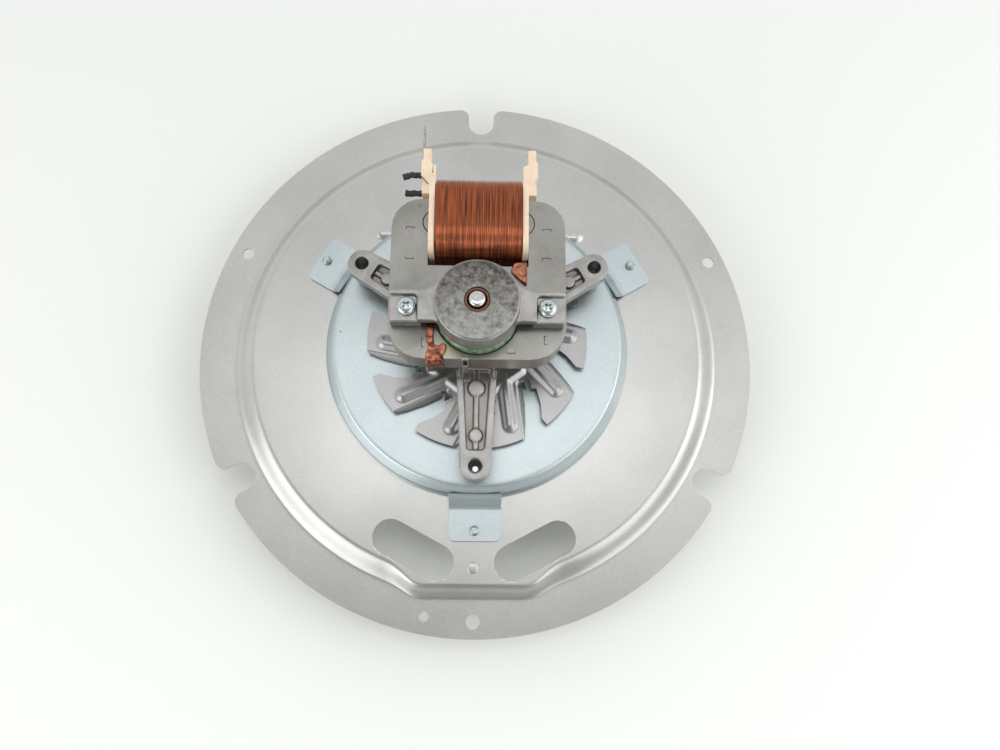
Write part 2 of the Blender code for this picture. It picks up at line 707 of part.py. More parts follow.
def makeLowerBracket():
    floor = hubBottom + CAP_CROWN
    cavity = HUB_RADIUS - CAP_WALL
    hubTop = hubBottom + HUB_HEIGHT
    seat = ballSeat(lowerBallPlace, (hubBottom, hubBottom + CAP_CROWN / 2, floor))
    profile = [(cavity, hubTop), (HUB_RADIUS, hubTop), (HUB_RADIUS, hubBottom)] + seat + [(cavity, floor)]
    bracket = turned("lower_bracket", profile, 36, "die-cast alloy")
    for angle in ARM_ANGLES:
        join(bracket, *makeArm(angle))
    for side in (-1, 1):
        x = sorted((side * (HUB_RADIUS - CAP_WALL / 2), side * BRACKET_SCREW_PLACE))
        join(bracket, block("beam_form", (x[0], -BEAM_HALF_WIDTH, armTop - ARM_DEPTH),
                            (x[1], BEAM_HALF_WIDTH, armTop)))
        join(bracket, column("post_form", POST_RADIUS, armTop - ARM_DEPTH * 0.9, armTop + POST_RISE,
                             (side * BRACKET_SCREW_PLACE, 0), sides=16))
    settle(bracket)
    for angle in ARM_ANGLES:
        cut(bracket, makeArmPocket(angle))
    settle(bracket)
    for angle in ARM_ANGLES:
        join(bracket, *makeArmRib(angle))
    front = -STACK_FRONT - GAP
    join(bracket, block("finger_form", (FINGER_LEFT, front - FINGER_THICKNESS, armTop - ARM_DEPTH * 0.8),
                        (FINGER_LEFT + FINGER_WIDTH, front, stackTop + FINGER_TOP)))
    for angle in ARM_ANGLES:
        place = polar(BOSS_CIRCLE, angle)
        deep = discTop + MOTOR_SCREW_REACH * 0.9
        cut(bracket, column("bore_cutter", BOSS_BORE, deep, armTop + GAP, place, sides=16))
        cut(bracket, column("bore_cutter", SCREW_RADIUS + GAP, discTop, deep + GAP, place, sides=10))
    for side in (-1, 1):
        cut(bracket, column("bore_cutter", SCREW_RADIUS + GAP, stackBottom - BRACKET_SCREW_REACH - 3 * GAP,
                            stackBottom, (side * BRACKET_SCREW_PLACE, 0), sides=10))
    return smooth(settle(bracket))


def makeUpperBracket():
    cavity = CAP_RADIUS - CAP_WALL
    ceiling = capTop - CAP_CROWN
    skirt = webTop - WEB_THICKNESS
    seat = ballSeat(upperBallPlace, (ceiling, ceiling + CAP_CROWN / 2, capTop))
    profile = [seat[-1], (CAP_RADIUS - CAP_EDGE, capTop),
               (CAP_RADIUS - CAP_EDGE * 0.25, capTop - CAP_EDGE * 0.35), (CAP_RADIUS, capTop - CAP_EDGE),
               (CAP_RADIUS, skirt), (cavity, skirt), (cavity, ceiling)]
    bracket = turned("upper_bracket", profile + seat[:-1], 40, "die-cast alloy")
    frontRoot = polar(CAP_RADIUS, WEB_FRONT_ANGLE)
    backRoot = polar(CAP_RADIUS + WEB_BACK_SPREAD, WEB_BACK_ANGLE)
    for side in (-1, 1):
        web = rounded([
            (*frontRoot, 0), (NECK_FRONT, -PAD_FRONT, NECK_FRONT_RADIUS), (POCKET_INNER, -PAD_FRONT, 0),
            (POCKET_INNER, PAD_BACK - POCKET_WALL, POCKET_CORNER), (PAD_OUTER, PAD_BACK - POCKET_WALL, 0),
            (PAD_OUTER, PAD_BACK, PAD_CORNER), (PAD_INNER, PAD_BACK, WEB_BACK_RADIUS),
            (*NECK_BACK, NECK_BACK_RADIUS), (*backRoot, 0)], 4)
        web = [Vector((side * x, y)) for x, y in web]
        pad = rounded([(PAD_INNER, -PAD_FRONT, PAD_CORNER), (PAD_OUTER, -PAD_FRONT, PAD_CORNER),
                       (PAD_OUTER, PAD_BACK, PAD_CORNER), (PAD_INNER, PAD_BACK, PAD_CORNER)], 2)
        pad = [Vector((side * x, y)) for x, y in pad]
        join(bracket, prism("web_form", [web], skirt, webTop))
        join(bracket, prism("pad_form", [pad], padBottom, padTop))
    cut(bracket, column("cavity_cutter", cavity, skirt - GAP, ceiling, sides=40))
    for side in (-1, 1):
        cut(bracket, column("hole_cutter", SCREW_RADIUS + GAP, padBottom - GAP, webTop + GAP,
                            (side * BRACKET_SCREW_PLACE, 0), sides=12))
    return smooth(settle(bracket))


def makeStack():
    half = STACK_HALF_WIDTH
    outline = rounded([
        (-half, -STACK_FRONT, STACK_FRONT_CORNER), (half, -STACK_FRONT, STACK_FRONT_CORNER),
        (half, STACK_BACK, STACK_BACK_CORNER), (WINDOW_HALF_WIDTH, STACK_BACK, 0),
        (WINDOW_HALF_WIDTH, WINDOW_FRONT, 0), (-WINDOW_HALF_WIDTH, WINDOW_FRONT, 0),
        (-WINDOW_HALF_WIDTH, STACK_BACK, 0), (-half, STACK_BACK, STACK_BACK_CORNER)], 6)
    bore = circle(ROTOR_BORE_RADIUS, 40)
    holes = [circle(SCREW_RADIUS + GAP, 12, (side * BRACKET_SCREW_PLACE, 0)) for side in (-1, 1)]
    stack = prism("stator_stack", [outline, bore] + holes, stackBottom, stackTop, "lamination steel")
    low, high = stackBottom - GAP, stackTop + GAP
    for side in (-1, 1):
        cut(stack, column("key_cutter", KEY_RADIUS + GAP, low, high, (side * KEY_PLACE, CORE_PLACE)))
        y = sorted((side * SLIT_START, side * (SLIT_START + SLIT_LENGTH)))
        x = sorted((side * STRAP_INNER_FACE * 0.9, side * SLIT_REACH))
        cut(stack, block("slit_cutter", (x[0], y[0], low), (x[1], y[1], high)))
    return smooth(settle(stack))


def makeCore():
    x = WINDOW_HALF_WIDTH - GAP
    outline = [(-x, CORE_PLACE - CORE_HALF_WIDTH), (x, CORE_PLACE - CORE_HALF_WIDTH),
               (x, CORE_PLACE + CORE_HALF_WIDTH), (-x, CORE_PLACE + CORE_HALF_WIDTH)]
    core = prism("coil_core", [outline], stackBottom, stackTop, "lamination steel")
    for side in (-1, 1):
        join(core, column("key_form", KEY_RADIUS, stackBottom, stackTop, (side * KEY_PLACE, CORE_PLACE)))
    return smooth(settle(core))


# A flat outline in (y, z) about the coil's centre line, given a length along X
def coilPrism(name, outlines, left, right, material=None):
    item = prism(name, outlines, -(right - left) / 2, (right - left) / 2, material)
    item.data.transform(Matrix(((0, 0, 1, 0), (1, 0, 0, 0), (0, 1, 0, 0), (0, 0, 0, 1))))
    item.location = ((left + right) / 2, CORE_PLACE, stackMiddle)
    return item


def rectangle(halfAcross, halfUp, radius, steps=4):
    return rounded([(-halfAcross, -halfUp, radius), (halfAcross, -halfUp, radius),
                    (halfAcross, halfUp, radius), (-halfAcross, halfUp, radius)], steps)


# Where the bobbin's ears start, a little inside the back of its flanges
def earFront():
    flangeBack = CORE_PLACE + CORE_HALF_WIDTH + GAP + FLANGE_RISE
    return max(flangeBack - EAR_OVERLAP, STACK_BACK + 2 * GAP)


def makeBobbin():
    outerFace = WINDOW_HALF_WIDTH - GAP
    innerFace = outerFace - FLANGE_THICKNESS
    clearAcross = CORE_HALF_WIDTH + GAP
    clearUp = STACK_THICKNESS / 2 + GAP
    across = clearAcross + BOBBIN_WALL
    up = clearUp + BOBBIN_WALL
    passage = rectangle(clearAcross, clearUp, 0)
    tube = rectangle(across, up, 0.0008, 2)
    bobbin = coilPrism("bobbin", [tube, passage], -outerFace + GAP, outerFace - GAP, "bobbin plastic")
    flange = rectangle(across + FLANGE_RISE - BOBBIN_WALL, up + FLANGE_RISE - BOBBIN_WALL, FLANGE_CORNER)
    opening = rectangle(clearAcross + GAP, clearUp + GAP, 0)
    for side in (-1, 1):
        x = sorted((side * innerFace, side * outerFace))
        join(bobbin, coilPrism("flange_form", [flange, opening], x[0], x[1]))
    z = stackMiddle + EAR_RISE
    edge = rounded([(WINDOW_HALF_WIDTH + out, earFront() + back, radius) for out, back, radius in EAR_EDGE], 2)
    for side in (-1, 1):
        ear = [Vector((side * x, y)) for x, y in edge]
        join(bobbin, prism("ear_form", [ear], z - EAR_THICKNESS / 2, z + EAR_THICKNESS / 2))
    return smooth(settle(bobbin))


def makeWinding():
    innerFace = WINDOW_HALF_WIDTH - FLANGE_THICKNESS - 2 * GAP
    across = CORE_HALF_WIDTH + BOBBIN_WALL + 2 * GAP
    up = STACK_THICKNESS / 2 + BOBBIN_WALL + 2 * GAP
    outer = rectangle(across + COIL_BUILD, up + COIL_BUILD, COIL_CORNER, 6)
    hole = rectangle(across, up, 0.0006, 2)
    return smooth(coilPrism("winding", [outer, hole], -innerFace, innerFace, "enamelled copper"))


def makeTerminals():
    z = stackMiddle + EAR_RISE
    x = -WINDOW_HALF_WIDTH - EAR_EDGE[1][0] - GAP
    half = TERMINAL_WIDTH / 2
    low = earFront() + TERMINAL_START
    high = low + TERMINAL_LENGTH
    plan = rounded([(low, z - half, 0), (high, z - half, 0.001), (high, z + half, 0.001), (low, z + half, 0)], 2)
    blade = prism("spade_terminal", [plan], -TERMINAL_THICKNESS / 2, TERMINAL_THICKNESS / 2, "tinned brass")
    blade.data.transform(Matrix(((0, 0, 1, 0), (1, 0, 0, 0), (0, 1, 0, 0), (0, 0, 0, 1))))
    blade.location = (x - TERMINAL_THICKNESS / 2, 0, 0)
    smooth(blade)
    for name, route in SLEEVE_ROUTES.items():
        curve = bpy.data.curves.new(name, "CURVE")
        curve.dimensions = "3D"
        curve.bevel_depth = SLEEVE_RADIUS
        curve.bevel_resolution = 2
        curve.use_fill_caps = True
        spline = curve.splines.new("POLY")
        spline.points.add(len(route) - 1)
        for point, (out, back) in zip(spline.points, route):
            point.co = (x - out, earFront() + back, z, 1)
        curve.materials.append(materialOf("black sleeving"))
        partsCollection.objects.link(bpy.data.objects.new(name, curve))


# A copper strap round one shaded pole, with the crimp where its ends meet
def makeShadingRing(name, side, reach):
    inner = SLIT_START + GAP
    low = stackBottom - GAP - STRAP_THICKNESS
    high = stackTop + GAP + STRAP_THICKNESS
    y0 = side * inner
    y1 = side * (reach + GAP + STRAP_THICKNESS)
    ys = sorted((y0, y1))
    legs = sorted((side * (SLIT_START + SLIT_LENGTH - GAP), side * (reach + GAP)))
    outline = [(ys[0], low), (ys[1], low), (ys[1], high), (ys[0], high)]
    hole = [(legs[0], low + STRAP_THICKNESS), (legs[1], low + STRAP_THICKNESS),
            (legs[1], high - STRAP_THICKNESS), (legs[0], high - STRAP_THICKNESS)]
    strap = prism(name, [outline, hole], -STRAP_WIDTH / 2, STRAP_WIDTH / 2, "bare copper")
    strap.data.transform(Matrix(((0, 0, 1, 0), (1, 0, 0, 0), (0, 1, 0, 0), (0, 0, 0, 1))))
    strap.location = (side * (STRAP_INNER_FACE + STRAP_WIDTH / 2), 0, 0)
    return strap


def makeShadingRings():
    left = makeShadingRing("shading_ring_left", -1, STACK_FRONT)
    front = -STACK_FRONT - GAP
    face = STRAP_INNER_FACE
    low = stackTop + GAP
    high = low + STRAP_THICKNESS + CRIMP_RISE
    crimp = rounded([(-face - out, front - past, radius) for out, past, radius in LEFT_CRIMP], 2)
    join(left, prism("crimp_form", [crimp], low, high))
    join(left, block("fold_form", (-face - FOLD_END, front - FOLD_THICKNESS, stackTop - FOLD_DROP),
                     (-face - FOLD_START, front, stackTop + STRAP_THICKNESS / 2)))
    smooth(settle(left))
    right = makeShadingRing("shading_ring_right", 1, WINDOW_FRONT)
    crimp = rounded([(face + out, WINDOW_FRONT + past, radius) for out, past, radius in RIGHT_CRIMP], 2)
    join(right, prism("crimp_form", [crimp], low, high))
    smooth(settle(right))


def makeBearing(name, place):
    profile = [(SHAFT_RADIUS + GAP, place + BALL_HALF_LENGTH)]
    for step in range(-2, 3):
        z = -step / 2 * BALL_HALF_LENGTH
        profile.append((math.sqrt(BALL_RADIUS ** 2 - z ** 2), place + z))
    profile.append((SHAFT_RADIUS + GAP, place - BALL_HALF_LENGTH))
    return smooth(turned(name, profile, 18, "bronze"), 50)


def makeBearings():
    makeBearing("upper_bearing", upperBallPlace)
    makeBearing("lower_bearing", lowerBallPlace)
    inner = BALL_RADIUS + 2 * GAP
    upperWall = CAP_RADIUS - CAP_WALL - GAP
    lowerWall = HUB_RADIUS - CAP_WALL - GAP
    feltTop = capTop - CAP_CROWN - GAP
    ring("upper_felt", inner, upperWall, feltTop - FELT_THICKNESS, feltTop, "oiled felt")
    sheetTop = feltTop - FELT_THICKNESS - GAP
    ring("upper_retainer", inner, upperWall, sheetTop - RETAINER_SHEET, sheetTop, "bright steel")
    feltBottom = hubBottom + CAP_CROWN + GAP
    ring("lower_felt", inner, lowerWall, feltBottom, feltBottom + FELT_THICKNESS, "oiled felt")
    sheetBottom = feltBottom + FELT_THICKNESS + GAP
    ring("lower_retainer", inner, lowerWall, sheetBottom, sheetBottom + RETAINER_SHEET, "bright steel")


def makeShaft():
    shoulder = impellerTop + GAP
    top = capTop + SHAFT_PROUD
    radius = SHAFT_RADIUS
    end = shoulder - THREAD_LENGTH
    profile = [(0, top), (radius * 0.55, top - radius * 0.08), (radius * 0.88, top - radius * 0.28),
               (radius, top - radius * 0.6), (radius, shoulder), (THREAD_RADIUS, shoulder),
               (THREAD_RADIUS, end + THREAD_RADIUS * 0.2), (THREAD_RADIUS * 0.8, end), (0, end)]
    return smooth(turned("shaft", profile, 18, "bright steel", closed=False))


def makeRotor():
    radius = ROTOR_BORE_RADIUS - RUNNING_GAP
    cap = radius - END_RING_INSET
    bore = SHAFT_RADIUS + GAP
    profile = [(bore, rotorTop), (cap, rotorTop), (cap, stackTop), (radius, stackTop),
               (radius, stackBottom), (cap, stackBottom), (cap, rotorBottom), (bore, rotorBottom)]
    smooth(turned("rotor", profile, 36, "green lacquer"))
    ring("upper_collar", bore, COLLAR_RADIUS, rotorTop + GAP,
         upperBallPlace - BALL_HALF_LENGTH - GAP, "bright steel")
    ring("lower_collar", bore, COLLAR_RADIUS, lowerBallPlace + BALL_HALF_LENGTH + GAP,
         rotorBottom - GAP, "bright steel")


# One blade's edge about the +X direction, from its leading root round the tip to its trailing root
def bladePlan():
    tip = [polar(fanTip, angle) for angle in BLADE_TIP_ANGLES]
    leading = [Vector(point) * fanTip for point in BLADE_LEADING_EDGE]
    return leading + tip + [Vector(BLADE_TRAILING_ROOT) * fanTip]


# The edge of a blade that is turned down, as a thin wedge that starts inside the sheet
def makeBentEdge(angle):
    outer, inner = bladePlan()[-2:]
    across = Vector((-(outer - inner).y, (outer - inner).x)).normalized()
    skin = FAN_SHEET * 0.1
    points = []
    for place, share in ((outer, 0.35), (inner, 1.0)):
        bent = place + across * FLANGE_REACH * share
        drop = FLANGE_DROP * share
        back = place - across * FAN_SHEET
        points += [(*back, fanTop - skin), (*back, fanTop - FAN_SHEET + skin)]
        points += [(*bent, fanTop - drop), (*bent, fanTop - drop - FAN_SHEET)]
    return turn(hull("edge_form", points), angle)


# A pressed form in the fan's sheet: what rises above it, then what is hollow below.
# Its flank runs on into the sheet, so that no edge lies in the sheet's faces
def makeEmboss(name, outlineOf, rise, flank):
    made = []
    for drop, depth in ((0, FAN_SHEET / 2), (FAN_SHEET, 2 * FAN_SHEET)):
        foot = outlineOf((depth - drop) * flank / rise - drop / 2)
        crest = outlineOf(-flank - drop / 2)
        made.append(loft(name, [[(*point, fanTop - depth) for point in foot],
                                [(*point, fanTop + rise - drop) for point in crest]]))
    return made


def makeFan():
    step = 360 / FAN_BLADES
    bore = SHAFT_RADIUS + GAP
    angles = [number * step for number in range(FAN_BLADES)]
    outline = []
    for angle in angles:
        outline += [Matrix.Rotation(math.radians(angle), 2) @ point for point in bladePlan()]
    fan = prism("cooling_fan", [outline], fanTop - FAN_SHEET, fanTop, "zinc plated sheet")
    ribStart, ribEnd = Vector(RIB_START) * fanTip, Vector(RIB_END) * fanTip
    plateau, hollow = makeEmboss("plateau_form", lambda grow: circle(PLATEAU_SHARE * fanTip + grow, 36),
                                 FAN_EMBOSS, PLATEAU_FLANK)
    join(fan, plateau, solver="MANIFOLD")
    hollows = [hollow]
    for angle in angles:
        join(fan, makeBentEdge(angle), solver="MANIFOLD")
        solid, hollow = makeEmboss("rib_form", lambda grow: capsule(ribStart, ribEnd, RIB_HALF_WIDTH + grow, 4),
                                   RIB_RISE, RIB_FLANK)
        join(fan, turn(solid, angle), solver="MANIFOLD")
        hollows.append(turn(hollow, angle))
    settle(fan)
    cut(fan, *hollows, solver="MANIFOLD")
    cut(fan, column("bore_cutter", bore, fanTop - FAN_EMBOSS, fanTop + 2 * FAN_EMBOSS, sides=20),
        solver="MANIFOLD")
    smooth(settle(fan))
    bushBottom = fanTop + FAN_EMBOSS + GAP
    ring("fan_bush", bore, FAN_BUSH_RADIUS, bushBottom, bushBottom + FAN_BUSH_LENGTH, "bright steel")
    clipTop = fanTop + FAN_EMBOSS - FAN_SHEET - GAP
    ring("fan_clip", bore, FAN_CLIP_RADIUS, clipTop - FAN_SHEET, clipTop, "bright steel")


def makeImpeller():
    step = 360 / IMPELLER_BLADES
    low = IMPELLER_BLADE_HEIGHT
    outline = []
    for number in range(IMPELLER_BLADES):
        angle = number * step
        root = angle + IMPELLER_WINDOW
        outline += [polar(IMPELLER_RADIUS, angle), polar(IMPELLER_BLADE_ROOT, angle),
                    polar(IMPELLER_BLADE_ROOT, (angle + root) / 2), polar(IMPELLER_BLADE_ROOT, root)]
        for share in (0, 0.5):
            outline.append(polar(IMPELLER_RADIUS, root + share * (step - IMPELLER_WINDOW)))
    impeller = prism("impeller", [outline, circle(THREAD_RADIUS + GAP, 16)], low, impellerTop,
                     "galvanised sheet")
    blade = rounded([(IMPELLER_BLADE_ROOT, low + IMPELLER_SHEET / 2, 0), (IMPELLER_BLADE_ROOT, low * 0.35, 0),
                     (IMPELLER_BLADE_ROOT + low * 0.3, 0, 0.002), (IMPELLER_RADIUS, 0, 0.002),
                     (IMPELLER_RADIUS, low + IMPELLER_SHEET / 2, 0)], 2)
    for number in range(IMPELLER_BLADES):
        form = prism("blade_form", [blade], 0, IMPELLER_SHEET)
        form.location = (0, 0, 0)
        form.data.transform(Matrix(((1, 0, 0, 0), (0, 0, -1, 0), (0, 1, 0, 0), (0, 0, 0, 1))))
        join(impeller, turn(form, number * step), solver="MANIFOLD")
    smooth(settle(impeller))
    washerTop = low - GAP
    bore = THREAD_RADIUS + GAP
    ring("impeller_washer", bore, WASHER_RADIUS, washerTop - WASHER_THICKNESS, washerTop, "bright steel")
    nutTop = washerTop - WASHER_THICKNESS - GAP
    hexagon = circle(NUT_RADIUS, 6)
    prism("impeller_nut", [hexagon, circle(bore, 16)], nutTop - NUT_HEIGHT, nutTop, "bright steel")


# Everything that turns hangs on one empty on the shaft axis
def carryOnShaft():
    axis = bpy.data.objects.new("shaft_axis", None)
    partsCollection.objects.link(axis)
    for name in ("shaft", "rotor", "upper_collar", "lower_collar", "cooling_fan", "fan_bush", "fan_clip",
                 "impeller", "impeller_washer", "impeller_nut"):
        bpy.data.objects[name].parent = axis


partsCollection, cuttersCollection = clearScene()
makeBackPlate()
makeMotorDisc()
makeScrews()
makeLowerBracket()
makeUpperBracket()
makeStack()
makeCore()
makeBobbin()
makeWinding()
makeTerminals()
makeShadingRings()
makeBearings()
makeShaft()
makeRotor()
makeFan()
makeImpeller()
carryOnShaft()
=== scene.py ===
import math

import bmesh
import bpy
from mathutils import Matrix, Vector, noise


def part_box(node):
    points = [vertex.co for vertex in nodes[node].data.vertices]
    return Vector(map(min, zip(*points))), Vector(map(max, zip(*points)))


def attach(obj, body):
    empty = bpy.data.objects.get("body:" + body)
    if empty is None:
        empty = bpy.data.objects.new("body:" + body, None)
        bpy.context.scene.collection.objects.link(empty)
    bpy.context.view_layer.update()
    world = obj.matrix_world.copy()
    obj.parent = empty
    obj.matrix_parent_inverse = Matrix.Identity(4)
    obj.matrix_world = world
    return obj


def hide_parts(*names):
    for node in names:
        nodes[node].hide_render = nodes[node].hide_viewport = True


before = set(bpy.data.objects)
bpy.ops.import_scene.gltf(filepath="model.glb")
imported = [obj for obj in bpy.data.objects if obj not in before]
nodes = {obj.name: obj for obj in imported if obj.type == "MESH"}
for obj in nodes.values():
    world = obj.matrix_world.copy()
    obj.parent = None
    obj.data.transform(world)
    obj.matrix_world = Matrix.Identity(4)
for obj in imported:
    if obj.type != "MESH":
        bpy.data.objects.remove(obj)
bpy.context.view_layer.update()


def srgb(code, alpha=1.0):  # hex colour to linear
    parts = [int(code[i:i + 2], 16) / 255 for i in (1, 3, 5)]
    return [c / 12.92 if c <= 0.04045 else ((c + 0.055) / 1.055) ** 2.4 for c in parts] + [alpha]


def connect(tree, node, **links):  # each socket gets a value or another node's output
    for key, value in links.items():
        numbered = key[0] == "i" and key[1:].isdigit()
        socket = node.inputs[int(key[1:]) if numbered else key.replace("_", " ")]
        if isinstance(value, bpy.types.NodeSocket):
            tree.links.new(value, socket)
        else:
            socket.default_value = value
    return node


def addNode(tree, kind, settings=None, **links):
    node = tree.nodes.new("ShaderNode" + kind)
    for key, value in (settings or {}).items():
        setattr(node, key, value)
    return connect(tree, node, **links)


def reckon(tree, operation, *values):
    sockets = {"i%d" % index: value for index, value in enumerate(values)}
    return addNode(tree, "Math", {"operation": operation}, **sockets).outputs[0]


def noiseOf(tree, place, sizeMm, detail, roughness=0.5, distortion=0.0):
    node = addNode(tree, "TexNoise", Vector=place, Scale=1000 / sizeMm, Detail=detail, Roughness=roughness,
                   Distortion=distortion)
    return node.outputs["Fac"]


def rangeOf(tree, value, source=(0.0, 1.0), target=(0.0, 1.0)):
    node = addNode(tree, "MapRange", Value=value, From_Min=source[0], From_Max=source[1], To_Min=target[0],
                   To_Max=target[1])
    return node.outputs[0]


def rampOf(tree, value, dark, pale, low=0.0, high=1.0):
    node = addNode(tree, "ValToRGB", Fac=value)
    stops = node.color_ramp.elements
    stops[0].position, stops[0].color = low, srgb(dark)
    stops[1].position, stops[1].color = high, srgb(pale)
    return node.outputs[0]


def mixOf(tree, share, first, second):
    return addNode(tree, "Mix", {"data_type": "RGBA"}, i0=share, i6=first, i7=second).outputs[2]


def bumpOf(tree, height, strength, distance=0.0002):
    return addNode(tree, "Bump", Height=height, Strength=strength, Distance=distance).outputs[0]


def newMaterial(name):
    made = bpy.data.materials.new(name)
    made.use_nodes = True
    tree = made.node_tree
    place = addNode(tree, "TexCoord").outputs["Object"]
    return made, tree, tree.nodes["Principled BSDF"], place


def polar(radius, degrees):
    angle = math.radians(degrees)
    return Vector((radius * math.cos(angle), radius * math.sin(angle)))


def meshObject(name, shape):
    mesh = bpy.data.meshes.new(name)
    shape.to_mesh(mesh)
    shape.free()
    item = bpy.data.objects.new(name, mesh)
    bpy.context.scene.collection.objects.link(item)
    return item


def takeShape(item):  # the object's mesh as a bmesh, and the object goes
    shape = bmesh.new()
    shape.from_mesh(item.data)
    bpy.data.objects.remove(item, do_unlink=True)
    return shape


def ofKind(parts, kind):
    return [part for part in parts if isinstance(part, kind)]


def faceUp(shape, face):  # the whole shape is turned over if this face looks down
    if face.normal.z < 0:
        bmesh.ops.reverse_faces(shape, faces=shape.faces)


def drawOut(shape, edges, step):  # draws the edges out by a step, and gives the new points and edges
    grown = bmesh.ops.extrude_edge_only(shape, edges=edges)["geom"]
    dots = ofKind(grown, bmesh.types.BMVert)
    edges = [edge for edge in ofKind(grown, bmesh.types.BMEdge) if all(dot in dots for dot in edge.verts)]
    bmesh.ops.translate(shape, verts=dots, vec=step)
    return dots, edges


def settle(item):  # the modifiers become mesh
    graph = bpy.context.evaluated_depsgraph_get()
    mesh = bpy.data.meshes.new_from_object(item.evaluated_get(graph))
    item.modifiers.clear()
    item.data = mesh
    return item


def booleanWith(item, tool, operation="DIFFERENCE"):
    step = item.modifiers.new("Boolean", "BOOLEAN")
    step.object = tool
    step.operation = operation
    step.solver = "EXACT"
    settle(item)
    bpy.data.objects.remove(tool, do_unlink=True)
    return item


def thicken(item, thickness, even=False):  # the sheet grows down from its upper face
    wall = item.modifiers.new("Sheet", "SOLIDIFY")
    wall.thickness = thickness
    wall.offset = -1
    wall.use_even_offset = even
    return settle(item)


def roundEdges(item, width, angle):
    bevel = item.modifiers.new("Bevel", "BEVEL")
    bevel.width = width
    bevel.segments = 2
    bevel.limit_method = "ANGLE"
    bevel.angle_limit = math.radians(angle)
    bevel.use_clamp_overlap = True
    return settle(item)


def smoothShading(item, angle=40):
    item.data.shade_smooth()
    item.data.set_sharp_from_angle(angle=math.radians(angle))
    weighted = item.modifiers.new("Weighted normals", "WEIGHTED_NORMAL")
    weighted.keep_sharp = True
    return settle(item)


def finish(item, material, body, *stands, slot=None):
    item.data.materials.clear()
    item.data.materials.append(material)
    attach(item, body)
    if stands:
        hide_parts(*stands)
    return item


def cadCopy(name, node):  # a merged copy of a CAD node, with its flat faces whole again
    shape = bmesh.new()
    shape.from_mesh(nodes[node].data)
    bmesh.ops.remove_doubles(shape, verts=shape.verts, dist=2e-6)
    bmesh.ops.dissolve_limit(shape, angle_limit=math.radians(0.6), verts=shape.verts, edges=shape.edges)
    return meshObject(name, shape)


def prismOf(points, low, high):  # a flat outline with a thickness, from z low to z high
    shape = bmesh.new()
    face = shape.faces.new([shape.verts.new((x, y, low)) for x, y in points])
    grown = bmesh.ops.extrude_face_region(shape, geom=[face])
    bmesh.ops.translate(shape, verts=ofKind(grown["geom"], bmesh.types.BMVert), vec=(0, 0, high - low))
    bmesh.ops.recalc_face_normals(shape, faces=shape.faces)
    return shape


def merged(*shapes):  # several bmeshes as one
    whole = bmesh.new()
    for shape in shapes:
        mesh = bpy.data.meshes.new("part")
        shape.to_mesh(mesh)
        shape.free()
        whole.from_mesh(mesh)
        bpy.data.meshes.remove(mesh)
    return whole


def spun(profile, steps=96, closed=False):  # (radius, z) points turned about the shaft axis
    shape = bmesh.new()
    dots = [shape.verts.new((radius, 0, z)) for radius, z in profile]
    lines = [shape.edges.new(pair) for pair in zip(dots, dots[1:])]
    if closed:
        lines.append(shape.edges.new((dots[-1], dots[0])))
    bmesh.ops.spin(shape, geom=dots + lines, cent=(0, 0, 0), axis=(0, 0, 1), dvec=(0, 0, 0),
                   angle=math.tau, steps=steps, use_merge=True, use_duplicate=False)
    bmesh.ops.remove_doubles(shape, verts=shape.verts, dist=1e-6)
    bmesh.ops.recalc_face_normals(shape, faces=shape.faces)
    shape.normal_update()
    return shape


def moveTo(shape, x, y, z, flip=False):
    if flip:
        bmesh.ops.rotate(shape, verts=shape.verts, cent=(0, 0, 0), matrix=Matrix.Rotation(math.pi, 3, "X"))
    bmesh.ops.translate(shape, verts=shape.verts, vec=(x, y, z))
    return shape


def capsulePoints(start, end, radius, steps=12):
    start, end = Vector(start), Vector(end)
    along = (end - start).normalized()
    side = Vector((-along.y, along.x))
    points = []
    for centre, first, second in ((end, -side, along), (start, side, -along)):
        for step in range(steps + 1):
            angle = math.pi * step / steps
            points.append(centre + first * radius * math.cos(angle) + second * radius * math.sin(angle))
    return points


def circlePoints(centre, radius, steps=32):
    return [Vector(centre) + polar(radius, 360 * step / steps) for step in range(steps)]


def smoothStep(value):
    value = min(1.0, max(0.0, value))
    return value * value * (3 - 2 * value)


photoCamera = {
    "place": (0.002094, -0.099003, 0.359885),
    "turn": (14.634, -1.541, 0.489),  # degrees, XYZ
    "lens": 27.586,
    "sensor": 36.0,
}


def makeCamera():
    data = bpy.data.cameras.new("photo camera")
    data.lens = photoCamera["lens"]
    data.sensor_width = photoCamera["sensor"]
    data.clip_start = 0.01
    item = bpy.data.objects.new("photo camera", data)
    item.location = photoCamera["place"]
    item.rotation_euler = [math.radians(angle) for angle in photoCamera["turn"]]
    bpy.context.scene.collection.objects.link(item)
    bpy.context.scene.camera = item


makeCamera()
print("camera set")


sheetLook = {  # rolled steel sheet, hot dipped, zinc plated or tinned: matt with a fine grain
    "galvanised": {"pale": "#cccdca", "dark": "#bbbcb9", "rough": (0.29, 0.36), "bump": 0.10},
    "zincPlated": {"pale": "#cdd7d9", "dark": "#bac5c8", "rough": (0.33, 0.41), "bump": 0.10},
    "pressed": {"pale": "#b6b7b6", "dark": "#a0a1a0", "rough": (0.32, 0.38), "bump": 0.04},
    "grainMm": 0.9,   # the real grain is about 0.2 mm, drawn coarser so that it shows
    "cloudMm": 38,
    "rollMm": 1.6,    # rolling marks, along Y
    "speck": "#8d8a86", "speckGapMm": 26, "speckReach": 0.017,
}


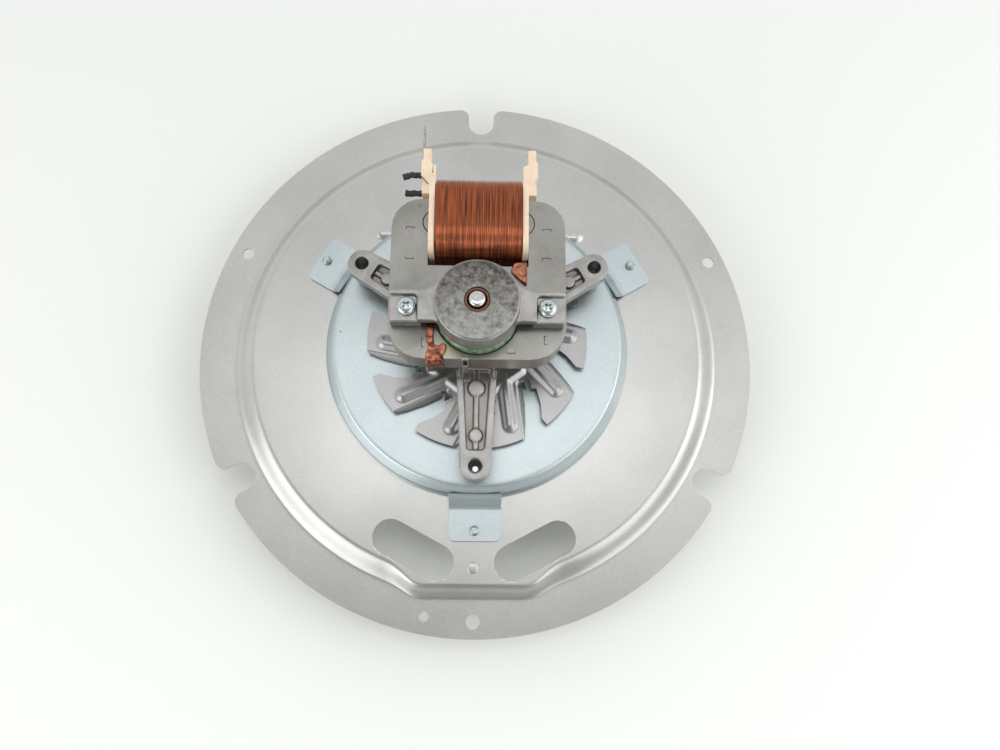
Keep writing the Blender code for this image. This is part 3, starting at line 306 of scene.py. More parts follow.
def sheetMaterial(name, look):
    made, tree, shader, place = newMaterial(name)
    grain = noiseOf(tree, place, sheetLook["grainMm"], 2.0, 0.6)
    cloud = noiseOf(tree, place, sheetLook["cloudMm"], 3.0, 0.55)
    drawn = addNode(tree, "Mapping", Vector=place, Scale=(1000 / sheetLook["rollMm"], 18, 18)).outputs[0]
    rolled = noiseOf(tree, drawn, 1000, 2.0)
    both = reckon(tree, "MULTIPLY_ADD", cloud, 0.7, reckon(tree, "MULTIPLY", grain, 0.6))
    tone = rampOf(tree, both, look["dark"], look["pale"], 0.42, 0.86)
    # a few small dark specks, as handling leaves
    spot = addNode(tree, "TexVoronoi", {"feature": "F1"}, Vector=place, Scale=1000 / sheetLook["speckGapMm"])
    dot = reckon(tree, "LESS_THAN", spot.outputs["Distance"], sheetLook["speckReach"])
    height = reckon(tree, "MULTIPLY_ADD", rolled, 0.35, grain)
    connect(tree, shader, Base_Color=mixOf(tree, dot, tone, srgb(sheetLook["speck"])), Metallic=1.0,
            Roughness=rangeOf(tree, grain, target=look["rough"]), Normal=bumpOf(tree, height, look["bump"]))
    return made


galvanised = sheetMaterial("galvanised steel sheet", sheetLook["galvanised"])
zincPlated = sheetMaterial("zinc plated steel sheet", sheetLook["zincPlated"])
pressedSteel = sheetMaterial("pressed tin plate", sheetLook["pressed"])


castLook = {  # pressure die-cast alloy: satin, with flow marks; darker stains on the cap, and painted shade in the arms' pockets
    "pale": "#b3b2af", "dark": "#949290", "grainMm": 0.7, "flowMm": 7,
    "pocketShade": "#8a847c", "pocketZ": 0.0534,  # painted shade for the arms' pockets: their floors take this darker colour
    # the cap top's duller tone, and the dark colour of its stains and of the painted shade at its back
    "dullTop": "#9a9a97", "stainAndShade": "#4f4941", "stainMm": 2.4,
    "stainRadius": (0.0160, 0.0150), "stainZ": (0.0912, 0.0919),
}


def pocketFloorShade(tree, place, tone, flow):  # painted shade on the pockets' floors, in streaks
    height = addNode(tree, "SeparateXYZ", Vector=place).outputs[2]
    normal = addNode(tree, "NewGeometry").outputs["Normal"]
    level = rangeOf(tree, addNode(tree, "SeparateXYZ", Vector=normal).outputs[2], (0.55, 0.85))
    far = reckon(tree, "ABSOLUTE", reckon(tree, "SUBTRACT", height, castLook["pocketZ"]))
    near = rangeOf(tree, far, (0.0009, 0.0003))
    streak = rangeOf(tree, flow, (0.3, 0.7), (0.35, 1.0))
    # painted shade: upward-facing faces near the pocket floors' height take the darker colour, in streaks
    shadeMask = reckon(tree, "MULTIPLY", reckon(tree, "MULTIPLY", level, near), streak)
    return mixOf(tree, shadeMask, tone, srgb(castLook["pocketShade"]))


def stainAndBackShade(tree, place, tone):  # dark spots where the mould release burnt on, on the cap's top only, over a duller tone; their darkening towards the back (+Y) is painted shade
    split = addNode(tree, "SeparateXYZ", Vector=place)
    across = addNode(tree, "CombineXYZ", X=split.outputs[0], Y=split.outputs[1], Z=0.0)
    away = addNode(tree, "VectorMath", {"operation": "LENGTH"}, i0=across.outputs[0]).outputs["Value"]
    top = reckon(tree, "MULTIPLY", rangeOf(tree, away, castLook["stainRadius"]),
                 rangeOf(tree, split.outputs[2], castLook["stainZ"]))
    blotch = noiseOf(tree, place, castLook["stainMm"], 6.0, 0.72)
    # painted shade: the spots' mask rises towards the back (+Y), so the cap top darkens there
    lean = reckon(tree, "MULTIPLY_ADD", split.outputs[1], 9.0, blotch)
    edgeward = reckon(tree, "MULTIPLY_ADD", away, 7.0, lean)
    amount = reckon(tree, "MULTIPLY", rampOf(tree, edgeward, "#000000", "#ffffff", 0.42, 0.76), top)
    dull = mixOf(tree, top, tone, srgb(castLook["dullTop"]))
    return mixOf(tree, amount, dull, srgb(castLook["stainAndShade"]))


def castMaterial(name, stainedAndShaded=False):
    made, tree, shader, place = newMaterial(name)
    flow = noiseOf(tree, place, castLook["flowMm"], 4.0, distortion=0.6)
    both = reckon(tree, "MULTIPLY_ADD", noiseOf(tree, place, castLook["grainMm"], 2.0), 0.35, flow)
    tone = rampOf(tree, both, castLook["dark"], castLook["pale"], 0.45, 0.85)
    # the cap carries stains and painted shade at its back; the other castings carry painted shade in their
    # pockets
    colour = stainAndBackShade(tree, place, tone) if stainedAndShaded else pocketFloorShade(tree, place, tone, flow)
    connect(tree, shader, Base_Color=colour, Metallic=0.85, Normal=bumpOf(tree, both, 0.22),
            Roughness=rangeOf(tree, flow, target=(0.28, 0.42)))
    return made


dieCast = castMaterial("die-cast zinc alloy")
capCast = castMaterial("die-cast zinc alloy, stained and shaded cap", stainedAndShaded=True)


laminationLook = {  # silicon steel laminations: dull grey faces, and the stack's edges show each sheet
    "pale": "#a5a49f", "dark": "#8c8b86", "edge": "#a89f94", "varnish": "#c9c0a4",
    "sheetMm": 0.5, "grainMm": 0.8, "smudgeMm": 16,
    "varnishAt": (-0.0135, -0.0168, 0.0755), "varnishReach": (0.0085, 0.0035),
}


def laminationMaterial():
    made, tree, shader, place = newMaterial("silicon steel laminations")
    grain = noiseOf(tree, place, laminationLook["grainMm"], 3.0)
    smudge = noiseOf(tree, place, laminationLook["smudgeMm"], 3.0)
    both = reckon(tree, "MULTIPLY_ADD", grain, 0.4, smudge)
    tone = rampOf(tree, both, laminationLook["dark"], laminationLook["pale"], 0.45, 0.90)
    # varnish dried yellowish on the iron beside the left crimp and the rotor's edge
    spot = addNode(tree, "VectorMath", {"operation": "DISTANCE"}, i0=place, i1=laminationLook["varnishAt"])
    near = rangeOf(tree, spot.outputs["Value"], laminationLook["varnishReach"])
    face = mixOf(tree, reckon(tree, "MULTIPLY", near, smudge), tone, srgb(laminationLook["varnish"]))
    # each sheet's cut edge, on the sides only
    normal = addNode(tree, "NewGeometry").outputs["Normal"]
    upward = reckon(tree, "ABSOLUTE", addNode(tree, "SeparateXYZ", Vector=normal).outputs[2])
    sideways = rangeOf(tree, upward, (0.55, 0.25))
    height = addNode(tree, "SeparateXYZ", Vector=place).outputs[2]
    saw = reckon(tree, "FRACT", reckon(tree, "MULTIPLY", height, 1000 / laminationLook["sheetMm"]))
    line = rangeOf(tree, saw, (0.0, 0.35), (0.55, 1.0))
    shade = reckon(tree, "MULTIPLY", line, rangeOf(tree, grain, target=(0.7, 1.25)))
    edge = addNode(tree, "VectorMath", {"operation": "SCALE"}, i0=srgb(laminationLook["edge"])[:3],
                   Scale=shade)
    relief = reckon(tree, "MULTIPLY_ADD", grain, 0.4, reckon(tree, "MULTIPLY", sideways, line))
    connect(tree, shader, Base_Color=mixOf(tree, sideways, face, edge.outputs[0]), Metallic=0.9,
            Roughness=rangeOf(tree, grain, target=(0.27, 0.40)), Normal=bumpOf(tree, relief, 0.25))
    return made


laminations = laminationMaterial()


def metalMaterial(name, pale, dark, grainMm, rough, metallic=1.0, bumpStrength=0.15):
    # a plain metal whose tone wanders between two colours
    made, tree, shader, place = newMaterial(name)
    grain = noiseOf(tree, place, grainMm, 4.0, 0.6)
    connect(tree, shader, Base_Color=rampOf(tree, grain, dark, pale, 0.35, 0.65), Metallic=metallic,
            Roughness=rangeOf(tree, grain, target=rough), Normal=bumpOf(tree, grain, bumpStrength, 0.0001))
    return made


# ground steel shaft: bright, with faint grinding marks
groundSteel = metalMaterial("ground steel", "#dcdcda", "#c4c4c2", 0.8, (0.10, 0.18), bumpStrength=0.04)
# zinc plated screws: bluish and bright, a little uneven
zincScrew = metalMaterial("zinc plated screw steel", "#d8e0e0", "#b2bcbd", 0.9, (0.16, 0.30),
                          bumpStrength=0.1)
# spring steel and turned collars inside the motor
turnedSteel = metalMaterial("turned steel", "#b9b8b4", "#a09f9b", 1.2, (0.25, 0.38))
# soft copper strap: hammered flat, its skin browned by the brazing heat
strapCopper = metalMaterial("annealed copper strap", "#bd8068", "#7a4534", 3.0, (0.18, 0.30),
                            bumpStrength=0.2)
# oil-filled sintered bronze: brown and fine-pored
sinteredBronze = metalMaterial("sintered bronze", "#8f6552", "#5f4236", 0.5, (0.35, 0.5), bumpStrength=0.4)
# tinned brass blade
tinnedBrass = metalMaterial("tinned brass", "#c9c5bb", "#a79f92", 1.5, (0.22, 0.34))
# the lead's enamel, darkened by the solder's heat
leadEnamel = metalMaterial("dark lead enamel", "#6b3b25", "#3a2018", 1.0, (0.25, 0.35), metallic=0.6)
# a drop of amber impregnating varnish on the bobbin
amberVarnish = metalMaterial("amber varnish", "#d9a441", "#b97f24", 0.8, (0.12, 0.2), metallic=0.0,
                             bumpStrength=0.05)
# green insulating lacquer over the rotor's iron
greenLacquer = metalMaterial("green rotor lacquer", "#a3bb9b", "#5b7d5b", 1.8, (0.16, 0.30), metallic=0.35,
                             bumpStrength=0.3)


copperLook = {"pale": "#b8673e", "dark": "#4c1e10", "turnMm": 0.42}


def wireMaterial():  # polyester-imide enamel over round copper wire: brown gloss, one tone per turn
    made, tree, shader, place = newMaterial("enamelled copper wire")
    drawn = addNode(tree, "Mapping", Vector=place, Scale=(1000 / copperLook["turnMm"], 60, 60)).outputs[0]
    tone = rampOf(tree, noiseOf(tree, drawn, 1000, 1.0), copperLook["dark"], copperLook["pale"], 0.22, 0.68)
    connect(tree, shader, Base_Color=tone, Metallic=0.85, Roughness=0.10, Coat_Weight=0.35,
            Coat_Roughness=0.12)
    return made


enamelledCopper = wireMaterial()


nylonLook = {"pale": "#fde9d2", "dark": "#f6dcbd", "cloudMm": 4.0}


def nylonMaterial():  # glass-filled nylon, moulded, slightly clear
    made, tree, shader, place = newMaterial("moulded nylon")
    cloud = noiseOf(tree, place, nylonLook["cloudMm"], 3.0)
    connect(tree, shader, Base_Color=rampOf(tree, cloud, nylonLook["dark"], nylonLook["pale"], 0.3, 0.6),
            Roughness=0.48, Subsurface_Weight=0.25, Subsurface_Radius=(0.0012, 0.0008, 0.0005),
            Subsurface_Scale=1.0, Normal=bumpOf(tree, cloud, 0.08))
    return made


mouldedNylon = nylonMaterial()


braidLook = {"pale": "#34363a", "dark": "#121214", "threadMm": 0.9, "fuzzMm": 0.5}


def braidMaterial():  # black glass-fibre sleeving: a fine braid, drawn coarser so that it shows
    made, tree, shader, place = newMaterial("black glass-fibre sleeving")
    slanted = addNode(tree, "Mapping", Vector=place, Rotation=(0, 0, math.radians(45))).outputs[0]
    weave = addNode(tree, "TexChecker", Vector=slanted, Scale=1000 / braidLook["threadMm"]).outputs["Fac"]
    both = reckon(tree, "MULTIPLY_ADD", weave, 0.4, noiseOf(tree, place, braidLook["fuzzMm"], 3.0))
    connect(tree, shader, Base_Color=rampOf(tree, both, braidLook["dark"], braidLook["pale"]), Roughness=0.62,
            Normal=bumpOf(tree, both, 0.6, 0.0003))
    return made


blackSleeving = braidMaterial()


feltLook = {"pale": "#cfc7b2", "dark": "#9c9480", "fibreMm": 0.6}


def feltMaterial():  # wool felt soaked in oil, inside the bearing caps
    made, tree, shader, place = newMaterial("oiled wool felt")
    fibre = noiseOf(tree, place, feltLook["fibreMm"], 5.0, 0.7)
    connect(tree, shader, Base_Color=rampOf(tree, fibre, feltLook["dark"], feltLook["pale"]), Roughness=0.9,
            Sheen_Weight=0.3, Normal=bumpOf(tree, fibre, 0.7, 0.0004))
    return made


oiledFelt = feltMaterial()
print("materials made")


plate = {
    "sheet": 0.0008, "bore": 0.009, "crownZ": 0.0290, "rimZ": 0.0240,
    "crown": 0.0996, "foot": 0.1090, "rim": 0.125,
    "lobeFoot": 0.1091, "lobeCrown": 0.1026, "lobeCorner": 0.0243, "lobeWidth": 0.0345,
    "slots": (((-0.0160, -0.0940), (-0.0354, -0.0838)), ((0.0160, -0.0940), (0.0354, -0.0838))),
    "slotRadius": 0.0076,
    "notchAngles": (90, 210, 330), "notchHalf": 0.0061, "notchDepth": 0.0139, "notchLip": 0.0042,
    "rimHoles": ((157.1, 0.0079, 0.0027), (22.7, 0.0071, 0.0027), (259.9, 0.0071, 0.00205),
                 (269.9, 0.0071, 0.00295)),
    "screwHoles": ((30, 0.0809), (150, 0.0804), (270, 0.0809)),
    "screwHole": 0.0023, "edge": 0.00018,
    "bend": (0.08, 0.1215),  # between these radii the sheet follows the lobe
    "bead": {"half": 0.0451, "y": 0.0557, "radius": 0.0037, "height": 0.0012},
    # the bead's section: how far in from its foot, and the share of its height
    "beadRows": ((0.0, -0.0002), (0.10, 0.10), (0.30, 0.55), (0.60, 0.90), (0.85, 1.0)),
    # the mark's section in front of the front tab, and its place
    "mark": ((0, 0.00030), (0.0017, 0.00030), (0.0021, 0.00024), (0.0023, 0.0)), "markAt": (-0.0005, -0.0962),
}


def lobeRadius(degrees, circleRadius, reach):  # the dish's edge is a circle with a flat at the front
    direction = polar(1, degrees)
    start = math.sqrt(circleRadius ** 2 - plate["lobeWidth"] ** 2)
    across, down = abs(direction.x), -direction.y
    if down <= 0 or across / down > plate["lobeWidth"] / start:
        return circleRadius
    slope = (reach - start) / (plate["lobeWidth"] - plate["lobeCorner"])
    slanted = (start + slope * plate["lobeWidth"]) / (down + slope * across)
    return max(circleRadius, min(reach / down, slanted))


def softLobe(degrees, circleRadius, reach):  # the same, with its corners drawn round
    spread = (-1.6, -0.8, 0, 0.8, 1.6)
    return sum(lobeRadius(degrees + shift, circleRadius, reach) for shift in spread) / len(spread)


def notchPoints(angle):
    half, lip = plate["notchHalf"], plate["notchLip"]
    bottom = plate["rim"] - plate["notchDepth"]
    edge = math.sqrt(plate["rim"] ** 2 - (half + lip) ** 2)
    points = [Vector((bottom + half, 0)) + polar(half, 270 - step * 15) for step in range(13)]
    for side in (-1, 1):
        corner = Vector((edge - lip, side * (half + lip)))
        arc = [corner + polar(lip, side * (step * 15 - 90)) for step in range(7)]
        arc.append(Vector((plate["rim"] + lip, side * (half + lip))))
        points = arc[::-1] + points if side < 0 else points + arc
    return [Matrix.Rotation(math.radians(angle), 2) @ point for point in points]


def makeBackPlate():
    foot, crown, (inner, outer) = plate["foot"], plate["crown"], plate["bend"]
    radii = [plate["bore"], 0.02, 0.035, 0.050, 0.065, 0.078, 0.086, 0.092, 0.096, 0.0982]
    radii += [crown - 0.0005 + step * 0.0005 for step in range(21)]
    radii += [0.1105, 0.113, 0.117, 0.121, plate["rim"]]
    profile = []
    for radius in radii:  # the crown rolls down to the rim in one S-shaped bend
        rise = smoothStep((foot - radius) / (foot - crown)) ** 0.9
        profile.append((radius, plate["rimZ"] + (plate["crownZ"] - plate["rimZ"]) * rise))
    shape = spun(profile, 480)
    for dot in shape.verts:
        radius = dot.co.xy.length
        degrees = math.degrees(math.atan2(dot.co.y, dot.co.x))
        if dot.co.y > 0 or radius < inner or radius > outer:
            continue
        share = min(1.0, max(0.0, (foot - radius) / (foot - crown)))
        atFoot = softLobe(degrees, foot, plate["lobeFoot"]) - foot
        atCrown = softLobe(degrees, crown, plate["lobeCrown"]) - crown
        shift = atFoot + share * (atCrown - atFoot)
        if radius < crown:
            shift *= smoothStep((radius - inner) / (crown - inner))
        if radius > foot:
            shift *= smoothStep((outer - radius) / (outer - foot))
        dot.co.xy = dot.co.xy * (1 + shift / radius)
    faceUp(shape, next(iter(shape.faces)))
    item = thicken(meshObject("backPlate", shape), plate["sheet"], even=True)
    low, high = plate["rimZ"] - 0.003, plate["crownZ"] + 0.001
    cutters = [prismOf(capsulePoints(*ends, plate["slotRadius"], 20), low, high) for ends in plate["slots"]]
    cutters += [prismOf(notchPoints(angle), low, plate["rimZ"] + 0.002) for angle in plate["notchAngles"]]
    for angle, inset, radius in plate["rimHoles"]:
        cutters.append(prismOf(circlePoints(polar(plate["rim"] - inset, angle), radius), low, high))
    for angle, away in plate["screwHoles"]:
        cutters.append(prismOf(circlePoints(polar(away, angle), plate["screwHole"]), low, high))
    booleanWith(item, meshObject("plateCutter", merged(*cutters)))
    roundEdges(item, plate["edge"], 60)
    smoothShading(item, 38)
    finish(item, galvanised, "frame", "back_plate", slot="galvanised_sheet")
    # the stiffening bead behind the motor, a rounded ridge
    bead = plate["bead"]
    rows = []
    ridge = bmesh.new()
    for inward, rise in plate["beadRows"]:
        outline = capsulePoints((-bead["half"], bead["y"]), (bead["half"], bead["y"]),
                                bead["radius"] * (1.06 - inward), 12)
        dots = [ridge.verts.new((*point, plate["crownZ"] + rise * bead["height"])) for point in outline]
        rows.append([ridge.edges.new(pair) for pair in zip(dots, dots[1:] + dots[:1])])
    for lower, upper in zip(rows, rows[1:]):
        bmesh.ops.bridge_loops(ridge, edges=lower + upper)
    bmesh.ops.contextual_create(ridge, geom=rows[-1])
    bmesh.ops.recalc_face_normals(ridge, faces=ridge.faces)
    ridge.normal_update()
    faceUp(ridge, max(ridge.faces, key=lambda face: face.calc_center_median().z))
    finish(smoothShading(meshObject("plateBead", ridge), 60), galvanised, "frame", slot="galvanised_sheet")
    # a half-pierced mark in front of the tab
    mark = moveTo(spun(plate["mark"], 40), *plate["markAt"], plate["crownZ"])
    finish(smoothShading(meshObject("plateMark", mark), 60), galvanised, "frame", slot="galvanised_sheet")


makeBackPlate()
print("back plate made")


disc = {
    "sheet": 0.0008, "top": 0.0374, "bore": 0.0085, "radius": 0.06675, "shoulder": 0.00425, "edge": 0.0306,
    "lip": 0.0006,
    # the bevelled edge: how far out from the flat top and how far down
    "edgeBend": ((0.0, 0.00002), (0.0005, 0.00012), (0.0009, 0.0004), (0.0013, 0.0008), (0.0023, 0.0019),
                 (0.0033, 0.0030), (0.0038, 0.0036), (0.0041, 0.0042), (0.00425, 0.0050)),
    "tabAngles": (30, 150, 270), "tabHalf": 0.0111, "tabCorner": 0.0026, "tabTop": 0.0301, "bossAt": 0.057,
    "tabReach": {30: 0.0853, 150: 0.0841, 270: 0.0853}, "screwAt": {30: 0.0809, 150: 0.0804, 270: 0.0809},
    "bossHole": 0.0023, "tabHole": 0.0021, "tabEdge": 0.00012,
    # the tab's side view from the wall down to the plate: how far out and how high
    "tabPath": ((0.0662, 0.0352), (0.0672, 0.0343), (0.0682, 0.0330), (0.0692, 0.0317), (0.0702, 0.0308),
                (0.0713, 0.0303)),
    "tabFlat": (0.0725, 0.0740, 0.0790),
}


def makeMotorDisc():
    flat = disc["radius"] - disc["shoulder"]
    profile = [(disc["bore"], disc["top"]), (0.02, disc["top"]), (0.04, disc["top"]), (0.055, disc["top"]),
               (flat - 0.0012, disc["top"])]
    profile += [(flat + away, disc["top"] - drop) for away, drop in disc["edgeBend"]]
    profile += [(disc["radius"], disc["edge"] + 0.0009),
                (disc["radius"] + disc["lip"] * 0.4, disc["edge"] + 0.0003),
                (disc["radius"] + disc["lip"], disc["edge"])]
    shape = spun(profile, 240)
    faceUp(shape, min(shape.faces, key=lambda face: face.calc_center_median().xy.length))
    item = thicken(meshObject("motorDisc", shape), disc["sheet"])
    holes = [prismOf(circlePoints(polar(disc["bossAt"], angle), disc["bossHole"], 24), disc["top"] - 0.002,
                     disc["top"] + 0.001) for angle in disc["tabAngles"]]
    booleanWith(item, meshObject("discCutter", merged(*holes)))
    finish(smoothShading(item, 45), zincPlated, "frame", "motor_disc", slot="zinc_plated_sheet")
    # three tabs, bent out of the wall down to the plate
    top = disc["tabTop"] + 0.0003
    for angle in disc["tabAngles"]:
        flat = [(away, top - 0.0001) for away in (*disc["tabFlat"], disc["tabReach"][angle])]
        path = [*disc["tabPath"], *flat]
        tab = bmesh.new()
        start = [tab.verts.new((path[0][0], side * disc["tabHalf"] * share, path[0][1]))
                 for side, share in ((-1, 1), (-1, 0.5), (1, 0), (1, 0.5), (1, 1))]
        edges = [tab.edges.new(pair) for pair in zip(start, start[1:])]
        for before, after in zip(path, path[1:]):
            edges = drawOut(tab, edges, (after[0] - before[0], 0, after[1] - before[1]))[1]
        corners = [dot for dot in tab.verts if dot.co.x > disc["tabReach"][angle] - 1e-5
                   and abs(abs(dot.co.y) - disc["tabHalf"]) < 1e-5]
        bmesh.ops.bevel(tab, geom=corners, offset=disc["tabCorner"], segments=6, profile=0.5,
                        affect="VERTICES", material=-1)
        bmesh.ops.recalc_face_normals(tab, faces=tab.faces)
        tab.normal_update()
        faceUp(tab, max(tab.faces, key=lambda face: face.calc_area()))
        turning = Matrix.Rotation(math.radians(angle), 3, "Z")
        bmesh.ops.rotate(tab, verts=tab.verts, cent=(0, 0, 0), matrix=turning)
        piece = thicken(meshObject("discTab%d" % angle, tab), disc["sheet"])
        ring = circlePoints(polar(disc["screwAt"][angle], angle), disc["tabHole"], 24)
        booleanWith(piece, meshObject("tabCutter", prismOf(ring, top - 0.003, top + 0.002)))
        roundEdges(piece, disc["tabEdge"], 50)
        finish(smoothShading(piece, 45), zincPlated, "frame", slot="zinc_plated_sheet")


makeMotorDisc()
print("motor disc made")


fan = {
    "top": 0.0414, "sheet": 0.0007, "tip": 0.0477, "blades": 10, "bore": 0.0036,
    "leading": ((0.0262, -0.0052), (0.0292, -0.0050), (0.0333, -0.0024), (0.0388, -0.0066),
                (0.0428, -0.0115)),
    "tipAngles": (-14.9, -12, -9, -6, -3, 0, 3, 6),
    "bend": ((0.0465, 0.0056), (0.0260, 0.0093)),
    "flange": ((0.0473, 0.0062), (0.0420, 0.0084), (0.0337, 0.0109), (0.0268, 0.0120), (0.0256, 0.0098)),
    "ribStart": (0.0180, 0.0062), "ribEnd": (0.0402, 0.0021), "ribHalf": 0.0035, "ribFlank": 0.0029,
    "ribRise": 0.0016, "hubFlat": 0.0222, "hubFlank": 0.0026, "hubRise": 0.0014,
    "gridMm": 0.6, "margin": 0.002, "trim": 0.0015,
    # the turned-down edge: how far it goes on past its bend, its least x and radius, and its bend
    "turnedReach": 0.006, "turnedX": 0.0235, "turnedRadius": 0.0245, "turnedBend": 0.0008,
}


def softRamp(value, bend=0.22):  # straight, with short bends at both ends
    value = min(1.0, max(0.0, value))
    slope = 1 / (1 - bend)
    if value < bend:
        return slope * value * value / (2 * bend)
    if value > 1 - bend:
        return 1 - slope * (1 - value) ** 2 / (2 * bend)
    return slope * (value - bend / 2)


def awayFromLine(point, start, end):
    start, end = Vector(start), Vector(end)
    share = max(0.0, min(1.0, (point - start).dot(end - start) / (end - start).length_squared))
    return (point - start - (end - start) * share).length


def fanHeight(x, y):  # how far the pressed sheet stands above or below the blades' plane
    step = 360 / fan["blades"]
    point = Vector((x, y))
    degrees = math.degrees(math.atan2(y, x))
    rise, drop, hub = 0.0, 0.0, 0.0
    nearest = round(degrees / step)
    start, end = Vector(fan["bend"][0]), Vector(fan["bend"][1])
    across = Vector((-(start - end).y, (start - end).x)).normalized()
    for number in range(nearest - 1, nearest + 2):
        local = Matrix.Rotation(math.radians(-number * step), 2) @ point
        away = awayFromLine(local, fan["ribStart"], fan["ribEnd"])
        rise = max(rise, fan["ribRise"] * smoothStep((fan["ribHalf"] - away) / fan["ribFlank"]))
        past = (local - end).dot(across)
        if 0 < past < fan["turnedReach"] and local.x > fan["turnedX"] and local.length > fan["turnedRadius"]:
            soft = min(past, fan["turnedBend"])
            drop = max(drop, soft * soft / (2 * fan["turnedBend"]) + max(0.0, past - fan["turnedBend"]))
        side = math.radians((number + 0.5) * step)
        hub = max(hub, x * math.cos(side) + y * math.sin(side))
    hubEnd = fan["hubFlat"] + fan["hubFlank"]
    if hub < hubEnd:
        rise = max(rise, fan["hubRise"] * softRamp((hubEnd - hub) / fan["hubFlank"]))
    return rise - drop


def makeCoolingFan():
    size = fan["tip"] + fan["margin"]
    count = int(2 * size * 1000 / fan["gridMm"])
    sheet = bmesh.new()
    bmesh.ops.create_grid(sheet, x_segments=count, y_segments=count, size=size)
    far = [dot for dot in sheet.verts if dot.co.xy.length > fan["tip"] + fan["trim"]]
    bmesh.ops.delete(sheet, geom=far, context="VERTS")
    for dot in sheet.verts:
        dot.co.z = fan["top"] + fanHeight(dot.co.x, dot.co.y)
    item = thicken(meshObject("coolingFan", sheet), fan["sheet"])
    outline = []
    for number in range(fan["blades"]):
        turning = Matrix.Rotation(math.radians(number * 360 / fan["blades"]), 2)
        blade = [Vector(point) for point in fan["leading"]]
        blade += [polar(fan["tip"], angle) for angle in fan["tipAngles"]]
        blade += [Vector(point) for point in fan["flange"]]
        outline += [turning @ point for point in blade]
    booleanWith(item, meshObject("fanOutline", prismOf(outline, fan["top"] - 0.006, fan["top"] + 0.005)),
                "INTERSECT")
    bore = prismOf(circlePoints((0, 0), fan["bore"], 32), fan["top"] - 0.003, fan["top"] + 0.005)
    booleanWith(item, meshObject("fanBore", bore))
    smoothShading(item, 50)
    finish(item, pressedSteel, "turning", "cooling_fan", slot="zinc_plated_sheet")


makeCoolingFan()
print("cooling fan made")


castings = {  # by node: name, voxel, rounds of smoothing, share of the faces kept, material, slot
    "lower_bracket": ("lowerBracket", 0.00033, 2, 0.35, dieCast, "die_cast_alloy"),
    "upper_bracket": ("bearingCap", 0.00032, 5, 0.45, capCast, "die_cast_alloy"),
}


draft = {"top": 0.0564, "wall": 0.008, "width": 0.0011}  # the arms' outer walls lean in towards the top


finger = {  # the casting's thin upright finger in front of the stack, as boxes: low corner, high corner
    "cuts": (((-0.0059, -0.0216, 0.0536), (-0.0028, -0.0176, 0.0610)),
             ((-0.0059, -0.0216, 0.0600), (-0.0028, -0.0203, 0.0815))),
    "carry": (((-0.0057, -0.0203, 0.0609), (-0.0030, -0.0130, 0.0626)),
              ((-0.0057, -0.0170, 0.0540), (-0.0030, -0.0130, 0.0620))),
    "eye": ((-0.0051, -0.0212, 0.0702), (-0.0036, -0.0184, 0.0793)),
    # hollows in the front arm's rails and rib, beside the stack
    "hollows": (((-0.0083, -0.0210, 0.0537), (-0.0071, -0.0150, 0.0570)),
                ((0.0071, -0.0208, 0.0537), (0.0083, -0.0150, 0.0570)),
                ((-0.0006, -0.0216, 0.0537), (0.0006, -0.0160, 0.0556))),
}


def boxOf(corners):
    low, high = (Vector(corner) for corner in corners)
    shape = bmesh.new()
    bmesh.ops.create_cube(shape, size=1)
    bmesh.ops.scale(shape, verts=shape.verts, vec=high - low)
    bmesh.ops.translate(shape, verts=shape.verts, vec=(low + high) / 2)
    return shape


def leanWalls(item):  # a long narrow chamfer along the arms' top edges
    shape = bmesh.new()
    shape.from_mesh(item.data)
    shape.normal_update()
    rims = []
    for edge in shape.edges:
        if len(edge.link_faces) != 2 or any(abs(dot.co.z - draft["top"]) > 2e-5 for dot in edge.verts):
            continue
        flat, wall = sorted(edge.link_faces, key=lambda face: -face.normal.z)
        depth = draft["top"] - min(dot.co.z for dot in wall.verts)
        if flat.normal.z > 0.9 and abs(wall.normal.z) < 0.3 and depth > draft["wall"]:
            rims.append(edge)
    bmesh.ops.bevel(shape, geom=rims, offset=draft["width"], offset_type="OFFSET", segments=1, profile=0.5,
                    affect="EDGES", material=-1, clamp_overlap=True)
    shape.to_mesh(item.data)
    shape.free()


def castSoft(item, voxel, rounds, keep):  # every edge and corner rounded, as on a casting
    even = item.modifiers.new("Remesh", "REMESH")
    even.mode = "VOXEL"
    even.voxel_size = voxel
    settle(item)
    ease = item.modifiers.new("Smooth", "SMOOTH")
    ease.factor = 0.5
    ease.iterations = rounds
    settle(item)
    lean = item.modifiers.new("Decimate", "DECIMATE")
    lean.ratio = keep
    settle(item)
    item.data.shade_smooth()
    return item


def makeCastings():
    for node, (name, voxel, rounds, keep, material, slot) in castings.items():
        item = cadCopy(name, node)
        if node == "lower_bracket":
            leanWalls(item)
            for corners in finger["cuts"]:
                booleanWith(item, meshObject("fingerCutter", boxOf(corners)))
            for corners in finger["carry"]:
                booleanWith(item, meshObject("fingerCarry", boxOf(corners)), "UNION")
            for corners in (finger["eye"], *finger["hollows"]):
                booleanWith(item, meshObject("hollowCutter", boxOf(corners)))
        finish(castSoft(item, voxel, rounds, keep), material, "frame", node, slot=slot)


makeCastings()
print("castings made")


stator = {
    "top": 0.0755, "edge": 0.00022, "coreEdge": 0.00008,
    # lanced interlocks: place, which way the open side faces
    "marks": ((-0.0276, 0.0359, 0), (0.0276, 0.0359, 0), (-0.0273, 0.0233, 180), (0.0273, 0.0233, 0),
              (-0.0208, -0.0123, 90), (0.0133, -0.0154, 180), (0.0268, -0.0105, 90)),
    "markLength": 0.0036, "markWidth": 0.0015, "line": 0.00034, "deep": 0.0005,
    "pins": ((-0.0242, 0.0463), (0.0242, 0.0463)), "pinRadius": 0.0011,
}


